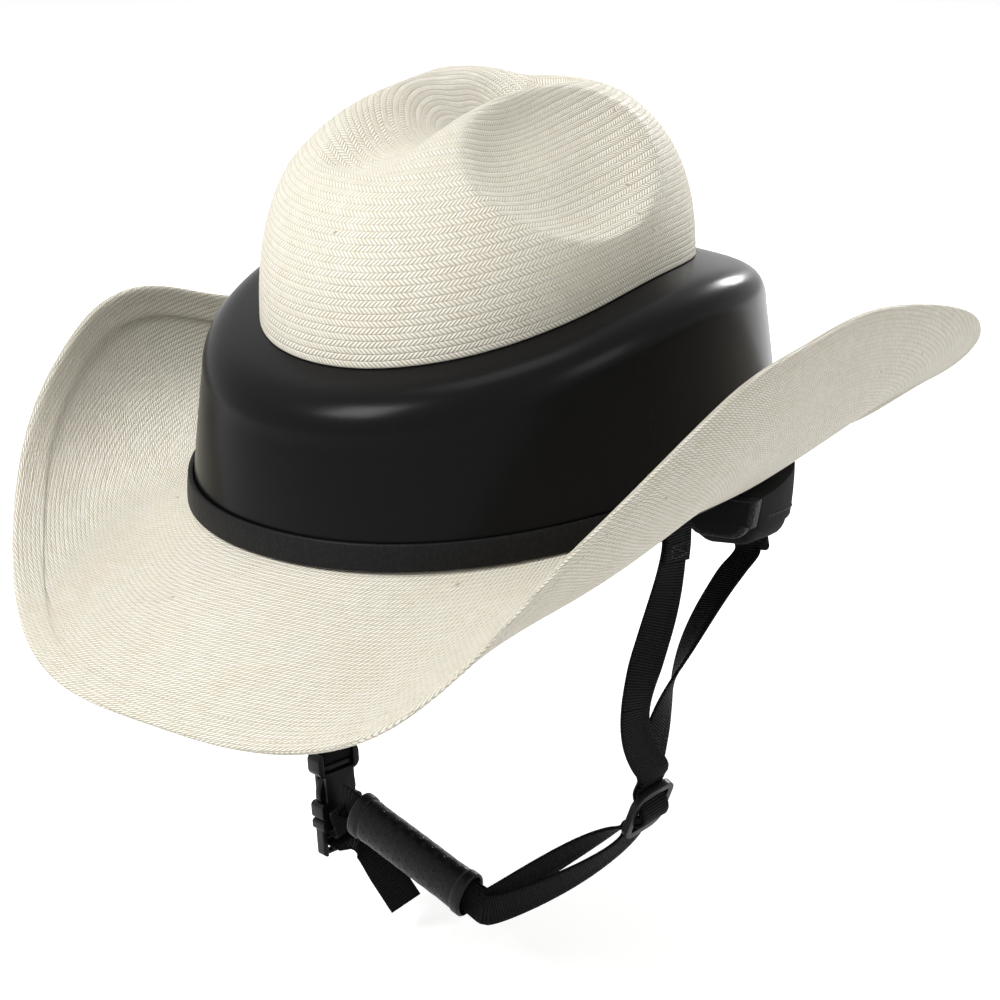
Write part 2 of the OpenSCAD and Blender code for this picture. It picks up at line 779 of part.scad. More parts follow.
// Path that leaves a straight line between two points by a bow, which peaks in the
// middle, or further on where late is above 1
function bowed(from, to, bow, steps, late = 1) =
  [for (i = [0 : steps]) let (f = i / steps) mix(from, to, f) + bow * sin(180 * pow(f, late))];

// Directions between two given ones, with the twist early (late < 1) or late
function blend(from, to, steps, late = 1) =
  [for (i = [0 : steps]) mix(from, to, pow(smooth_step(i / steps), late))];

// Width directions of webbing whose face looks along the given directions
function facing(path, looks) =
  let (last = len(path) - 1)
  [for (i = [0 : last]) cross(looks[i], unit(path[min(i + 1, last)] - path[max(i - 1, 0)]))];

module front_strap(side) {
  half = 6;
  fold_steps = 3;
  top = anchor_top(side) + [side * (web_t / 2 + anchor_clear), 0, -2];
  layer = [-glide_pass + layer_step / 2, 0, glide_web_end + seat_gap];
  path = concat(
    [top],
    bowed(
      top - [0, 0, anchor_size.z - 1], at_glide(layer + [0, 0, strap_lead], side),
      [0, -10, 0], 2 * half, 1.7
    ),
    [at_glide(layer, side)]
  );
  top_look = flip([1, -0.05, 0], side);
  mid_look = flip([0.87, -0.5, 0], side);
  end_look = along_glide(glide_look, side);
  looks = concat(
    [top_look], blend(top_look, mid_look, half - 1), blend(mid_look, end_look, half, 0.45), [end_look]
  );
  across = facing(path, looks);
  fold = [for (i = [0 : fold_steps]) path[i] + [side * layer_step, 0, 0]];
  color([0.07, 0.07, 0.07]) {
    ribbon(path, across);
    ribbon(fold, across);
  }
}
module front_strap_left() { front_strap(1); }
module front_strap_right() { front_strap(-1); }

// The rear strap laps over the front of its loop before it runs to the glide
module rear_strap(side) {
  steps = 11;
  lap = -loop_size.x / 2 - web_t / 2 - fit_gap - seat_gap;
  layer = [-glide_pass - layer_step / 2, 0, glide_web_end + seat_gap];
  path = concat(
    [at_loop([lap, 0, -1], side)],
    bowed(
      at_loop([lap, 0, -loop_size.z], side), at_glide(layer + [-2.4, 0, strap_lead + 4], side),
      [-5 * side, -7, 0], steps, 1.4
    ),
    [for (z = [2.5, 0]) at_glide(layer + [0, 0, z], side)]
  );
  loop_look = along_loop([1, 0, 0], side);
  low_look = flip([0.97, -0.15, 0.1], side);
  end_look = along_glide(glide_look, side);
  looks = concat([loop_look], blend(loop_look, low_look, steps, 0.8), [end_look, end_look]);
  color([0.07, 0.07, 0.07]) ribbon(path, facing(path, looks));
}
module rear_strap_left() { rear_strap(1); }
module rear_strap_right() { rear_strap(-1); }

// Plate with round corners, in its own plane
module round_plate(w, h, r) {
  square([w - 2 * r, h], center = true);
  square([w, h - 2 * r], center = true);
  for (x = [-1, 1], y = [-1, 1]) translate([x * (w / 2 - r), y * (h / 2 - r)]) circle(r = r, $fn = 40);
}

// Stands a plate up, so that its width lies along Y and its height along Z
module upright(t) {
  translate([-t / 2, 0, 0]) rotate([90, 0, 90]) linear_extrude(t) children();
}

// Glides: a three-bar slide, with the two layers of webbing woven through it
module glide(side) {
  slot_h = glide_reach - glide_bar - glide_mid_bar / 2;
  color([0.12, 0.12, 0.12])
    place_glide(side)
      upright(glide_t)
        difference() {
          round_plate(glide_slot + 2 * glide_rail, 2 * glide_reach, 7);
          for (y = [-1, 1])
            translate([0, y * (glide_mid_bar + slot_h) / 2]) round_plate(glide_slot, slot_h, 1.5);
        }
}
module glide_left() { glide(1); }
module glide_right() { glide(-1); }

// Path moved to one side of its own face, by spread more in its middle
function beside(path, across, d, spread = 0) =
  let (last = len(path) - 1)
  [
    for (i = [0 : last])
      let (
        along = unit(path[min(i + 1, last)] - path[max(i - 1, 0)]),
        face = cross(along, unit(across[i] - (across[i] * along) * along))
      )
      path[i] + (d + spread * sin(180 * i / last)) * face
  ];

// The webbing passes behind the top bar, over the middle one and behind the bottom one,
// where the left one turns inwards and the right one runs on
module glide_webbing(side) {
  steps = 2;
  slot_mid = (glide_edge + glide_mid_bar / 2) / 2;
  upper = smooth(
    [
      [-glide_pass, 0, glide_web_end], [-glide_pass, 0, glide_edge], [-glide_pass * 0.45, 0, slot_mid + 1],
      [glide_pass * 0.45, 0, slot_mid - 1], [glide_pass, 0, glide_mid_bar / 2], [glide_pass, 0, 0]
    ],
    steps
  );
  lower = [for (i = [len(upper) - 2 : -1 : steps]) [upper[i].x, 0, -upper[i].z]];
  path = concat(upper, lower, [[-glide_pass, 0, -(side > 0 ? glide_link_end : glide_web_end)]]);
  across = [for (p = path) glide_across];
  color([0.07, 0.07, 0.07])
    place_glide(side)
      for (d = [-0.5, 0.5]) ribbon(beside(path, across, d * layer_step), across);
}
module glide_webbing_left() { glide_webbing(1); }
module glide_webbing_right() { glide_webbing(-1); }

// Chin sleeve and what runs through it

function sleeve_turned(q) = turn_y(turn_x(q, sleeve_roll), sleeve_slope);
function at_sleeve(q) = sleeve_at + sleeve_turned(q);
link_end = sleeve_l / 2 - 10;

// Swell of the sleeve at a distance from its middle: rolled hems with a drawn-in neck
function sleeve_swell(x) =
  let (from_end = sleeve_l / 2 - abs(x))
  from_end < 0.6 ? 0.92
  : from_end < 5 ? 1
  : from_end < 7 ? sleeve_waist - 0.02
  : sleeve_waist + 0.03 * cos(180 * x / sleeve_l);

module chin_sleeve() {
  corners = 20;
  half = [0.1, 0.9, 2.6, 4.6, 6, 8, 14, 24];
  stations = concat(
    [for (d = half) d - sleeve_l / 2], [0], [for (d = backwards(half)) sleeve_l / 2 - d]
  );
  function oval_loop(x, y, z) =
    [for (a = [0 : corners - 1]) [x, y * cos(a * 360 / corners), z * sin(a * 360 / corners)]];
  outer = [
    for (x = stations) let (f = sleeve_swell(x)) oval_loop(x, sleeve_t / 2 * f, sleeve_h / 2 * f)
  ];
  inner = [
    for (x = [sleeve_l / 2 - 0.1, sleeve_l / 2 - 1.2, 0, 1.2 - sleeve_l / 2, 0.1 - sleeve_l / 2])
      let (flare = abs(x) > sleeve_l / 2 - 1 ? 0.5 : 0)
      oval_loop(x, sleeve_bore[1] + flare, sleeve_bore[0] + flare)
  ];
  color([0.1, 0.1, 0.1])
    translate(sleeve_at)
      rotate([0, sleeve_slope, 0])
        rotate([sleeve_roll, 0, 0])
          skin(concat(outer, inner), closed = true);
}

sleeve_across = sleeve_turned([0, 0, -1]);

// The two layers from the left glide to the chin sleeve, a little apart in the middle
module link_webbing() {
  steps = 12;
  link_sag = [0, 0, -2.2];
  link_spread = 2.8;
  layer = [-glide_pass, 0, -glide_link_end - seat_gap];
  end_across = along_glide(glide_across, 1);
  path = concat(
    [at_glide(layer, 1)],
    bowed(at_glide(layer - [0.5, 0, 4.5], 1), at_sleeve([sleeve_l / 2 + 5, 0, 0]), link_sag, steps),
    [at_sleeve([sleeve_l / 2 + 0.5, 0, 0]), at_sleeve([link_end, 0, 0])]
  );
  across = concat(
    [end_across], blend(end_across, sleeve_across, steps, 0.55), [sleeve_across, sleeve_across]
  );
  color([0.07, 0.07, 0.07])
    for (d = [-0.5, 0.5]) ribbon(beside(path, across, d * layer_step, d * link_spread), across);
}

// Loop from the right glide, round the bar of the buckle's socket and back
module buckle_webbing() {
  r = bar_r + web_t / 2 + 0.25;
  steps = 6;
  lift_off = 9;
  end = [-glide_pass, 0, -glide_web_end - seat_gap];
  function glide_side(d) = [at_glide(end + [d, 0, 0], -1), at_glide(end + [d, 0, -2], -1)];
  down = glide_side(layer_step / 2);
  up = glide_side(-layer_step / 2);
  turn = [for (a = [30 : 30 : 150]) at_buckle([-r * cos(a), 0, web_bar_z - r * sin(a)])];
  top_across = along_glide(glide_across, -1);
  bar_across = along_buckle([0, 1, 0]);
  twist = blend(top_across, bar_across, steps);
  color([0.07, 0.07, 0.07])
    ribbon(
      concat(
        [down[0]], bowed(down[1], at_buckle([-r, 0, web_bar_z + lift_off]), [-0.6, 0, 0], steps),
        [at_buckle([-r, 0, web_bar_z])], turn, [at_buckle([r, 0, web_bar_z])],
        bowed(at_buckle([r, 0, web_bar_z + lift_off]), up[1], [0.4, 0, 0], steps), [up[0]]
      ),
      concat(
        [top_across], twist, [bar_across], [for (p = turn) bar_across], [bar_across],
        backwards(twist), [top_across]
      )
    );
}

// Webbing through the sleeve, round the buckle's ladder bar and out as the loose end
module chin_webbing() {
  ladder_across = along_buckle([0, -1, 0]);
  wrap = ladder_r + web_t / 2 + 0.3;
  tail_across = [-0.62, -0.7, -0.34];
  tail_from = [-57, -21.5, -buckle_drop - 13];
  tail_way = unit([20, 1, -21]);
  stops = [
    [at_sleeve([link_end - seat_gap * 2, 0, 0]), sleeve_across],
    [at_sleeve([0, 0, 0]), sleeve_across],
    [at_sleeve([4 - sleeve_l / 2, 0, 0]), sleeve_across],
    [at_sleeve([-sleeve_l / 2 - 5, 0, 0]), sleeve_across],
    [at_buckle([11.5, -2.5, -2]), mix(sleeve_across, ladder_across, 0.6)],
    [at_buckle([4.6, 0, ladder_z + wrap + 0.8]), ladder_across],
    for (a = [60 : -40 : -60]) [at_buckle([-wrap * cos(a), 0, ladder_z + wrap * sin(a)]), ladder_across],
    [at_buckle([2.4, 0, ladder_z - wrap - 0.3]), ladder_across],
    [at_buckle([5.4, 0.3, ladder_z - wrap - 0.8]), ladder_across],
    [tail_from, mix(ladder_across, tail_across, 0.7)],
    [tail_from + tail_way * tail_l / 2, tail_across],
    [tail_from + tail_way * tail_l, tail_across]
  ];
  color([0.07, 0.07, 0.07])
    ribbon(smooth([for (s = stops) s[0]], sweep_steps), smooth([for (s = stops) s[1]], sweep_steps));
}

// Buckle

ring_h = 8;
ear_h = 11;
waist_w = 15.4;
cavity_w = buckle_w - 3.6;
cavity_l = socket_l - ear_h - 0.6;

// Round bar across the webbing slot, rooted in both rails
module cross_bar(z, r) {
  root = 0.4;
  translate([0, glide_slot / 2 + root, z])
    rotate([90, 0, 0]) cylinder(h = glide_slot + 2 * root, r = r, $fn = 32);
}

module buckle_socket() {
  color([0.12, 0.12, 0.12])
    place_buckle() {
      difference() {
        upright(buckle_t) {
          translate([0, ring_h / 2]) round_plate(buckle_w, ring_h, 2);
          translate([0, socket_l / 2]) square([waist_w, socket_l - 4], center = true);
          translate([0, socket_l - ear_h / 2]) round_plate(buckle_w, ear_h, 3.6);
        }
        translate([buckle_wall - buckle_t / 2, -cavity_w / 2, -1])
          cube([buckle_t - 2 * buckle_wall, cavity_w, cavity_l + 1]);
        translate([-buckle_t, -glide_slot / 2, socket_l - ear_h + 1.4])
          cube([2 * buckle_t, glide_slot, ear_h]);
      }
      cross_bar(web_bar_z, bar_r);
    }
}

module buckle_plug() {
  top = -seat_gap;
  base_h = 5;
  span = glide_slot + 2 * frame_rail;
  color([0.12, 0.12, 0.12])
    place_buckle() {
      difference() {
        union() {
          upright(buckle_t) translate([0, top - base_h / 2]) round_plate(buckle_w, base_h, 1.6);
          upright(buckle_t - 3.4) translate([0, top - frame_l / 2]) round_plate(span, frame_l, 2);
        }
        translate([-buckle_t, -glide_slot / 2, top - frame_l - 1])
          cube([2 * buckle_t, glide_slot, frame_l - base_h + 1]);
      }
      for (z = [ladder_z, top - frame_l + ladder_r]) cross_bar(z, ladder_r);
      translate([-tongue_w / 2, -tongue_w / 2, top - 1]) cube([tongue_w, tongue_w, tongue_l + 1]);
    }
}

// Sprung prong of the plug, with the lug that is pressed through the socket's window
module prong(way) {
  foot_z = prong_t / 2 + 0.1;
  color([0.15, 0.15, 0.15])
    place_buckle()
      upright(buckle_t - 2 * buckle_wall - 1)
        mirror([way < 0 ? 1 : 0, 0]) {
          translate([prong_x, foot_z]) circle(r = prong_t / 2, $fn = 32);
          polygon([
            [prong_x - prong_t / 2, foot_z], [prong_x + prong_t / 2, foot_z],
            [prong_x + prong_t / 2, lug_z[0] - 0.8], [lug_reach - 0.4, lug_z[0]], [lug_reach, lug_z[0] + 1.4],
            [lug_reach - 0.2, lug_z[1] - 2.6], [prong_x + prong_t / 2 - 0.2, prong_l - 1.2],
            [prong_x + prong_t / 2 - 1.1, prong_l], [prong_x - prong_t / 2, prong_l]
          ]);
        }
}
module prong_front() { prong(-1); }
module prong_back() { prong(1); }

crown_straw();
brim_straw();
outer_shell();
shell_trim_band();
foam_liner();
sweatband();
rim_ring();
rim_screws();
brow_pad();
crown_pad();
side_pad_left();
side_pad_right();
nape_pad();
nape_binding_left();
nape_binding_right();
strap_anchor_left();
strap_anchor_right();
strap_loop_left();
strap_loop_right();
front_strap_left();
front_strap_right();
rear_strap_left();
rear_strap_right();
glide_left();
glide_right();
glide_webbing_left();
glide_webbing_right();
link_webbing();
buckle_webbing();
buckle_socket();
buckle_plug();
prong_front();
prong_back();
chin_webbing();
chin_sleeve();
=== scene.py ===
import bmesh
import bpy
import math
import numpy as np
from mathutils import Matrix, Vector


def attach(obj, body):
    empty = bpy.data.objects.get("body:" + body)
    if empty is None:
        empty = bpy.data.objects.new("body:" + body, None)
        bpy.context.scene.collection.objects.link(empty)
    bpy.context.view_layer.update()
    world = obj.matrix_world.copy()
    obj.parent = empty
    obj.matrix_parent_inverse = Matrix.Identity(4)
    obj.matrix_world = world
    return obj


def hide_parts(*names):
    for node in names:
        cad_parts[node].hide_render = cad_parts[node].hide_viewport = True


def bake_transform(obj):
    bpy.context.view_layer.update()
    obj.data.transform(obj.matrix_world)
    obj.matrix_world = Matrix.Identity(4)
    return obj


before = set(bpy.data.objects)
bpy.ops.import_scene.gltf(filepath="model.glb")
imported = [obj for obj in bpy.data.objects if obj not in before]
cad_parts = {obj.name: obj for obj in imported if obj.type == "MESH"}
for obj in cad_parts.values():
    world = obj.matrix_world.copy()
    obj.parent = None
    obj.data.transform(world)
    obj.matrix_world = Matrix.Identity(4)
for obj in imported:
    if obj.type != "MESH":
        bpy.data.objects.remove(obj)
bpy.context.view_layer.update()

metre = 0.001


# A wire wraps one output socket, so that shader maths can be written as expressions
class Wire:
    def __init__(self, paint, socket):
        self.paint, self.socket = paint, socket

    def maths(self, operation, *others):
        return self.paint.node("ShaderNodeMath", {"operation": operation}, [self, *others])

    # Maths with this wire as the second value
    def mathsAfter(self, operation, first):
        return self.paint.node("ShaderNodeMath", {"operation": operation}, [first, self])

    def __add__(self, other):
        return self.maths("ADD", other)

    def __radd__(self, other):
        return self.maths("ADD", other)

    def __sub__(self, other):
        return self.maths("SUBTRACT", other)

    def __rsub__(self, other):
        return self.mathsAfter("SUBTRACT", other)

    def __mul__(self, other):
        return self.maths("MULTIPLY", other)

    def __rmul__(self, other):
        return self.maths("MULTIPLY", other)

    def __truediv__(self, other):
        return self.maths("DIVIDE", other)

    def __rtruediv__(self, other):
        return self.mathsAfter("DIVIDE", other)

    def __gt__(self, other):
        return self.maths("GREATER_THAN", other)

    def __lt__(self, other):
        return self.maths("LESS_THAN", other)

    def floor(self):
        return self.maths("FLOOR")

    def part(self):
        return self.maths("FRACT")

    def size(self):
        return self.maths("ABSOLUTE")

    def power(self, n):
        return self.maths("POWER", n)

    # Soft step from 0 at low to 1 at high
    def soft(self, low, high):
        return self.paint.node(
            "ShaderNodeMapRange", {"interpolation_type": "SMOOTHSTEP"},
            {"Value": self, "From Min": low, "From Max": high},
        )


# One material, or the world, and the calls that fill it in
class Paint:
    def __init__(self, name, kind="materials"):
        self.owner = getattr(bpy.data, kind).new(name)
        self.owner.use_nodes = True
        self.tree = self.owner.node_tree
        self.tree.nodes.clear()
        self.made = 0

    def node(self, kind, settings=None, inputs=None, output=0):
        n = self.tree.nodes.new(kind)
        column, row = self.made % 12, self.made // 12
        n.location = (190 * column - 1600, 600 - 170 * row)
        self.made += 1
        for key, value in (settings or {}).items():
            setattr(n, key, value)
        pairs = inputs.items() if isinstance(inputs, dict) else enumerate(inputs or [])
        for key, value in pairs:
            if isinstance(value, Wire):
                self.tree.links.new(value.socket, n.inputs[key])
            else:
                n.inputs[key].default_value = value
        return Wire(self, n.outputs[output]) if len(n.outputs) else None

    def mix(self, factor, a, b):
        a, b = [c if isinstance(c, Wire) else (*c, 1) for c in (a, b)]
        return self.node("ShaderNodeMix", {"data_type": "RGBA"}, {0: factor, 6: a, 7: b}, 2)

    def place(self):
        return self.node("ShaderNodeTexCoord", {}, {}, 3)

    # Both values of the UV layer "weave"
    def weave(self):
        split = self.node("ShaderNodeSeparateXYZ", {}, [self.node("ShaderNodeUVMap", {"uv_map": "weave"})])
        return split, Wire(self, split.socket.node.outputs[1])

    def noise(self, scale, detail=2, rough=0.5):
        inputs = {"Vector": self.place(), "Scale": scale, "Detail": detail, "Roughness": rough}
        return self.node("ShaderNodeTexNoise", {}, inputs)

    def cells(self, scale):
        return self.node("ShaderNodeTexVoronoi", {"feature": "F1"}, {"Vector": self.place(), "Scale": scale})

    def chance(self, x, y):
        spot = self.node("ShaderNodeCombineXYZ", {}, [x, y])
        return self.node("ShaderNodeTexWhiteNoise", {"noise_dimensions": "2D"}, {"Vector": spot})

    def bump(self, height, distance, strength=1.0, normal=None):
        inputs = {"Height": height, "Distance": distance, "Strength": strength}
        if normal:
            inputs["Normal"] = normal
        return self.node("ShaderNodeBump", {}, inputs)

    # Closes the material: constants go on the shader's own sockets
    def finish(self, colour, roughness, normal=None, **constants):
        inputs = {"Base Color": colour if isinstance(colour, Wire) else (*colour, 1), "Roughness": roughness}
        if normal:
            inputs["Normal"] = normal
        inputs.update({key.replace("_", " "): value for key, value in constants.items()})
        shader = self.node("ShaderNodeBsdfPrincipled", {}, inputs)
        self.node("ShaderNodeOutputMaterial", {}, [shader])
        return self.owner


# Materials

strawLook = {
    "crown": {
        "row": 0.0024, "strand": 0.0017, "foot": 0.560, "grow": -0.9,
        "lean": 2.5, "deep": 0.0006, "herring": 1, "shade": 0.85,
    },
    "brim": {
        "row": 0.0019, "strand": 0.0021, "foot": 0.760, "grow": 5.6,
        "lean": 3.1, "deep": 0.0006, "herring": 0, "shade": 0.9,
    },
    "rowsInBand": 10,
    "pale": (0.90, 0.865, 0.765),
    "warm": (0.84, 0.775, 0.63),
    # gap: colour of the painted shade between the strands and at the row ends
    "gap": (0.36, 0.30, 0.19),
    "fleck": (0.20, 0.13, 0.07),
}


# Woven straw. The UV layer "weave" holds the turn round the hat, from 0 to 1, and the
# distance along the surface in metres. A band of rows has one number of strands.
def strawPaint(name, look):
    p = Paint(name)
    turn, out = p.weave()
    row = (out / look["row"]).floor()
    withinRow = out / look["row"] - row
    rows = strawLook["rowsInBand"]
    band = (row / rows).floor()
    more = rows * look["row"] * look["grow"] / look["strand"]
    strands = (band * more + look["foot"] / look["strand"]).floor()
    # Strands of the crown lean left and right in turn, and those of the brim all lean one way
    way = ((row * look["herring"] / 2 + 0.01).part() < 0.5) * 2 - 1
    run = turn * strands + way * (withinRow - 0.5) * look["lean"] * 0.5
    strand = run.floor()
    across = ((run - strand) * 2 - 1).size()
    along = (withinRow * 2 - 1).size()
    shadeBeside = across.soft(0.55, 1.0)
    shadeAtRowEnd = along.soft(0.72, 1.0)
    tone = p.chance(strand, row)
    drift = p.noise(38, 3)
    straw = p.mix(tone * 0.55 + drift * 0.5 - 0.12, strawLook["pale"], strawLook["warm"])
    # Painted shade in the gaps beside the strands and at the ends of each row, deeper where the weave is open
    shade = (shadeBeside * 0.52 + shadeAtRowEnd * 0.2) * look["shade"]
    openWeave = p.noise(150, 2).soft(0.35, 0.7) * 0.35 + 0.75
    straw = p.mix(shade * openWeave * 1.05, straw, strawLook["gap"])
    fleckThere = (tone > 0.9992) * (across < 0.4) * (along < 0.5)
    straw = p.mix(fleckThere * 0.75, straw, strawLook["fleck"])
    rise = (1 - across.power(3) * 0.8) * (1 - along.power(4) * 0.7) + tone * 0.22
    normal = p.bump(rise, look["deep"], 1.0)
    return p.finish(straw, 0.52 + tone * 0.14 - drift * 0.06, normal, Specular_IOR_Level=0.3)


def shellPaint():
    p = Paint("shellBlackSatin")
    smear = p.noise(9, 4)
    speck = p.noise(900, 2)
    dust = p.noise(260, 3).soft(0.68, 0.80)
    colour = p.mix(smear * 0.5, (0.0026, 0.0027, 0.0030), (0.0062, 0.0063, 0.0066))
    colour = p.mix(dust * 0.04, colour, (0.05, 0.05, 0.048))
    normal = p.bump(speck, 0.00004, 0.5)
    return p.finish(colour, smear * 0.08 + speck * 0.03 + 0.20, normal, Specular_IOR_Level=0.09)


def grainPaint(name, dark, light, scale, depth, roughness, sheen=0.0):
    p = Paint(name)
    wobble = p.noise(scale * 0.4, 2)
    grain = p.cells(scale)
    crease = grain.soft(0.15, 0.62)
    patch = p.noise(24, 3)
    colour = p.mix(crease * 0.6 + patch * 0.4, light, dark)
    normal = p.bump(1 - grain + wobble * 0.6, depth, 0.7)
    return p.finish(colour, patch * 0.12 + roughness, normal, Sheen_Weight=sheen, Specular_IOR_Level=0.12)


def foamPaint():
    p = Paint("linerFoam")
    bead = p.cells(330)
    edge = bead.soft(0.30, 0.75)
    patch = p.noise(14, 3)
    colour = p.mix(edge * 0.7, (0.040, 0.040, 0.042), (0.015, 0.015, 0.016))
    colour = p.mix(patch.soft(0.45, 0.75) * 0.25, colour, (0.075, 0.075, 0.078))
    return p.finish(colour, 0.82 - bead * 0.15, p.bump(1 - bead, 0.0005, 0.6), Specular_IOR_Level=0.25)


# Fine knit for the sweatband and the cushions
def knitPaint(name, dark, light):
    p = Paint(name)
    turn, out = p.weave()
    stitch = 0.0011
    stitchRow = (out / stitch).floor()
    side = ((turn / stitch + (stitchRow / 2).part()).part() * 2 - 1).size()
    step = ((out / stitch).part() * 2 - 1).size()
    loop = (1 - side.power(2)) * (1 - step.power(2))
    fuzz = p.noise(1400, 3)
    worn = p.noise(40, 3).soft(0.45, 0.8)
    colour = p.mix(loop * 0.75 + fuzz * 0.25, dark, light)
    colour = p.mix(worn * 0.25, colour, light)
    return p.finish(
        colour, 0.86 - loop * 0.1, p.bump(loop + fuzz * 0.4, 0.00035, 0.7), Specular_IOR_Level=0.08,
    )


def suedePaint():
    p = Paint("napeSuede")
    nap = p.noise(1100, 4, rough=0.7)
    brushed = p.noise(30, 3)
    colour = p.mix(brushed.soft(0.35, 0.7) * 0.6 + nap * 0.4, (0.005, 0.005, 0.0055), (0.017, 0.017, 0.018))
    return p.finish(colour, 0.9 - nap * 0.1, p.bump(nap + brushed, 0.00025, 0.6), Specular_IOR_Level=0.08)


# Moulded plastic with softened edges
def plasticPaint():
    p = Paint("mouldedPlastic")
    grit = p.noise(1500, 2)
    flow = p.noise(55, 3)
    softEdge = p.node("ShaderNodeBevel", {"samples": 6}, {"Radius": 0.0006})
    colour = p.mix(flow * 0.8, (0.0035, 0.0035, 0.0037), (0.0075, 0.0075, 0.0077))
    return p.finish(colour, flow * 0.14 + 0.27, p.bump(grit, 0.00004, 0.5, softEdge), Specular_IOR_Level=0.14)


def screwPaint():
    p = Paint("screwSteel")
    cut = p.noise(700, 3)
    worn = p.noise(160, 3).soft(0.5, 0.8)
    softEdge = p.node("ShaderNodeBevel", {"samples": 4}, {"Radius": 0.0003})
    colour = p.mix(worn * 0.6, (0.06, 0.06, 0.065), (0.22, 0.21, 0.2))
    return p.finish(colour, 0.36 - worn * 0.1, p.bump(cut, 0.00003, 0.4, softEdge), Metallic=1.0)


# Ribbed webbing: the UV layer "weave" holds the place across and along the strap in metres
def webbingPaint():
    p = Paint("ribbedWebbing")
    across, along = p.weave()
    ribPitch, walePitch = 0.00118, 0.0011
    rib = (along / ribPitch).part()
    crest = 1 - (rib * 2 - 1).size().power(2)
    wale = (((across / walePitch) + (along / ribPitch).floor() * 0.5).part() * 2 - 1).size()
    edge = across.size().soft(0.0058, 0.0072)
    fuzz = p.noise(1900, 3)
    # Rib crests are painted lighter and the troughs darker: painted light and shade on the ribs. The colour
    # is also darker along both edges
    colour = p.mix(crest * 0.65 + fuzz * 0.25, (0.0005, 0.0005, 0.0006), (0.0150, 0.0150, 0.0165))
    colour = p.mix(edge * 0.35, colour, (0.002, 0.002, 0.0023))
    rise = crest * (1 - wale * 0.35) + edge * 0.4 + fuzz * 0.25
    return p.finish(colour, 0.66 - crest * 0.1, p.bump(rise, 0.0008, 1.0), Specular_IOR_Level=0.06)


# Perforated leather for the chin sleeve: "weave" holds metres round and along the sleeve
def sleevePaint():
    p = Paint("perforatedLeather")
    around, along = p.weave()
    linePitch, holePitch = 0.0036, 0.0042
    line = (along / linePitch).floor()
    x = ((around / holePitch + line / 2).part() - 0.5) * holePitch
    y = ((along / linePitch).part() - 0.5) * linePitch
    away = (x * x + y * y).power(0.5)
    onBody = 1 - along.size().soft(0.0245, 0.0262)
    hole = (1 - away.soft(0.00032, 0.00058)) * onBody
    rimLight = (away.soft(0.0005, 0.0007) * (1 - away.soft(0.0007, 0.0011))) * onBody
    grain = p.cells(950)
    patch = p.noise(45, 3)
    colour = p.mix(grain * 0.5 + patch * 0.4, (0.009, 0.009, 0.0095), (0.0035, 0.0035, 0.0037))
    # The holes are painted near black, as painted shade inside them
    colour = p.mix(hole * 0.9, colour, (0.0005, 0.0005, 0.0005))
    rise = rimLight * 0.5 - hole * 2 - grain * 0.35
    return p.finish(
        colour, patch * 0.12 + 0.33 + hole * 0.3, p.bump(rise, 0.00028, 0.75), Specular_IOR_Level=0.16,
    )


def threadPaint(name, dark, light):
    p = Paint(name)
    twist = p.noise(2200, 2)
    colour = p.mix(twist, dark, light)
    return p.finish(colour, 0.7 - twist * 0.1, p.bump(twist, 0.00012, 0.6))


paints = {
    "crown": strawPaint("strawCrown", strawLook["crown"]),
    "brim": strawPaint("strawBrim", strawLook["brim"]),
    "shell": shellPaint(),
    "trim": grainPaint("trimGrain", (0.004, 0.004, 0.0042), (0.010, 0.0098, 0.0096), 620, 0.00018, 0.42),
    "foam": foamPaint(),
    "sweatband": knitPaint("sweatbandKnit", (0.005, 0.005, 0.0055), (0.024, 0.024, 0.025)),
    "cushion": knitPaint("cushionKnit", (0.007, 0.007, 0.0075), (0.034, 0.034, 0.036)),
    "nape": suedePaint(),
    "binding": grainPaint("bindingPebble", (0.003, 0.003, 0.003), (0.022, 0.022, 0.022), 760, 0.0005, 0.4),
    "plastic": plasticPaint(),
    "screw": screwPaint(),
    "webbing": webbingPaint(),
    "sleeve": sleevePaint(),
    "thread": threadPaint("blackThread", (0.006, 0.006, 0.006), (0.03, 0.03, 0.03)),
    "strawThread": threadPaint("strawThread", (0.62, 0.56, 0.43), (0.82, 0.77, 0.64)),
}
print("materials made:", len(paints))


# Mesh helpers

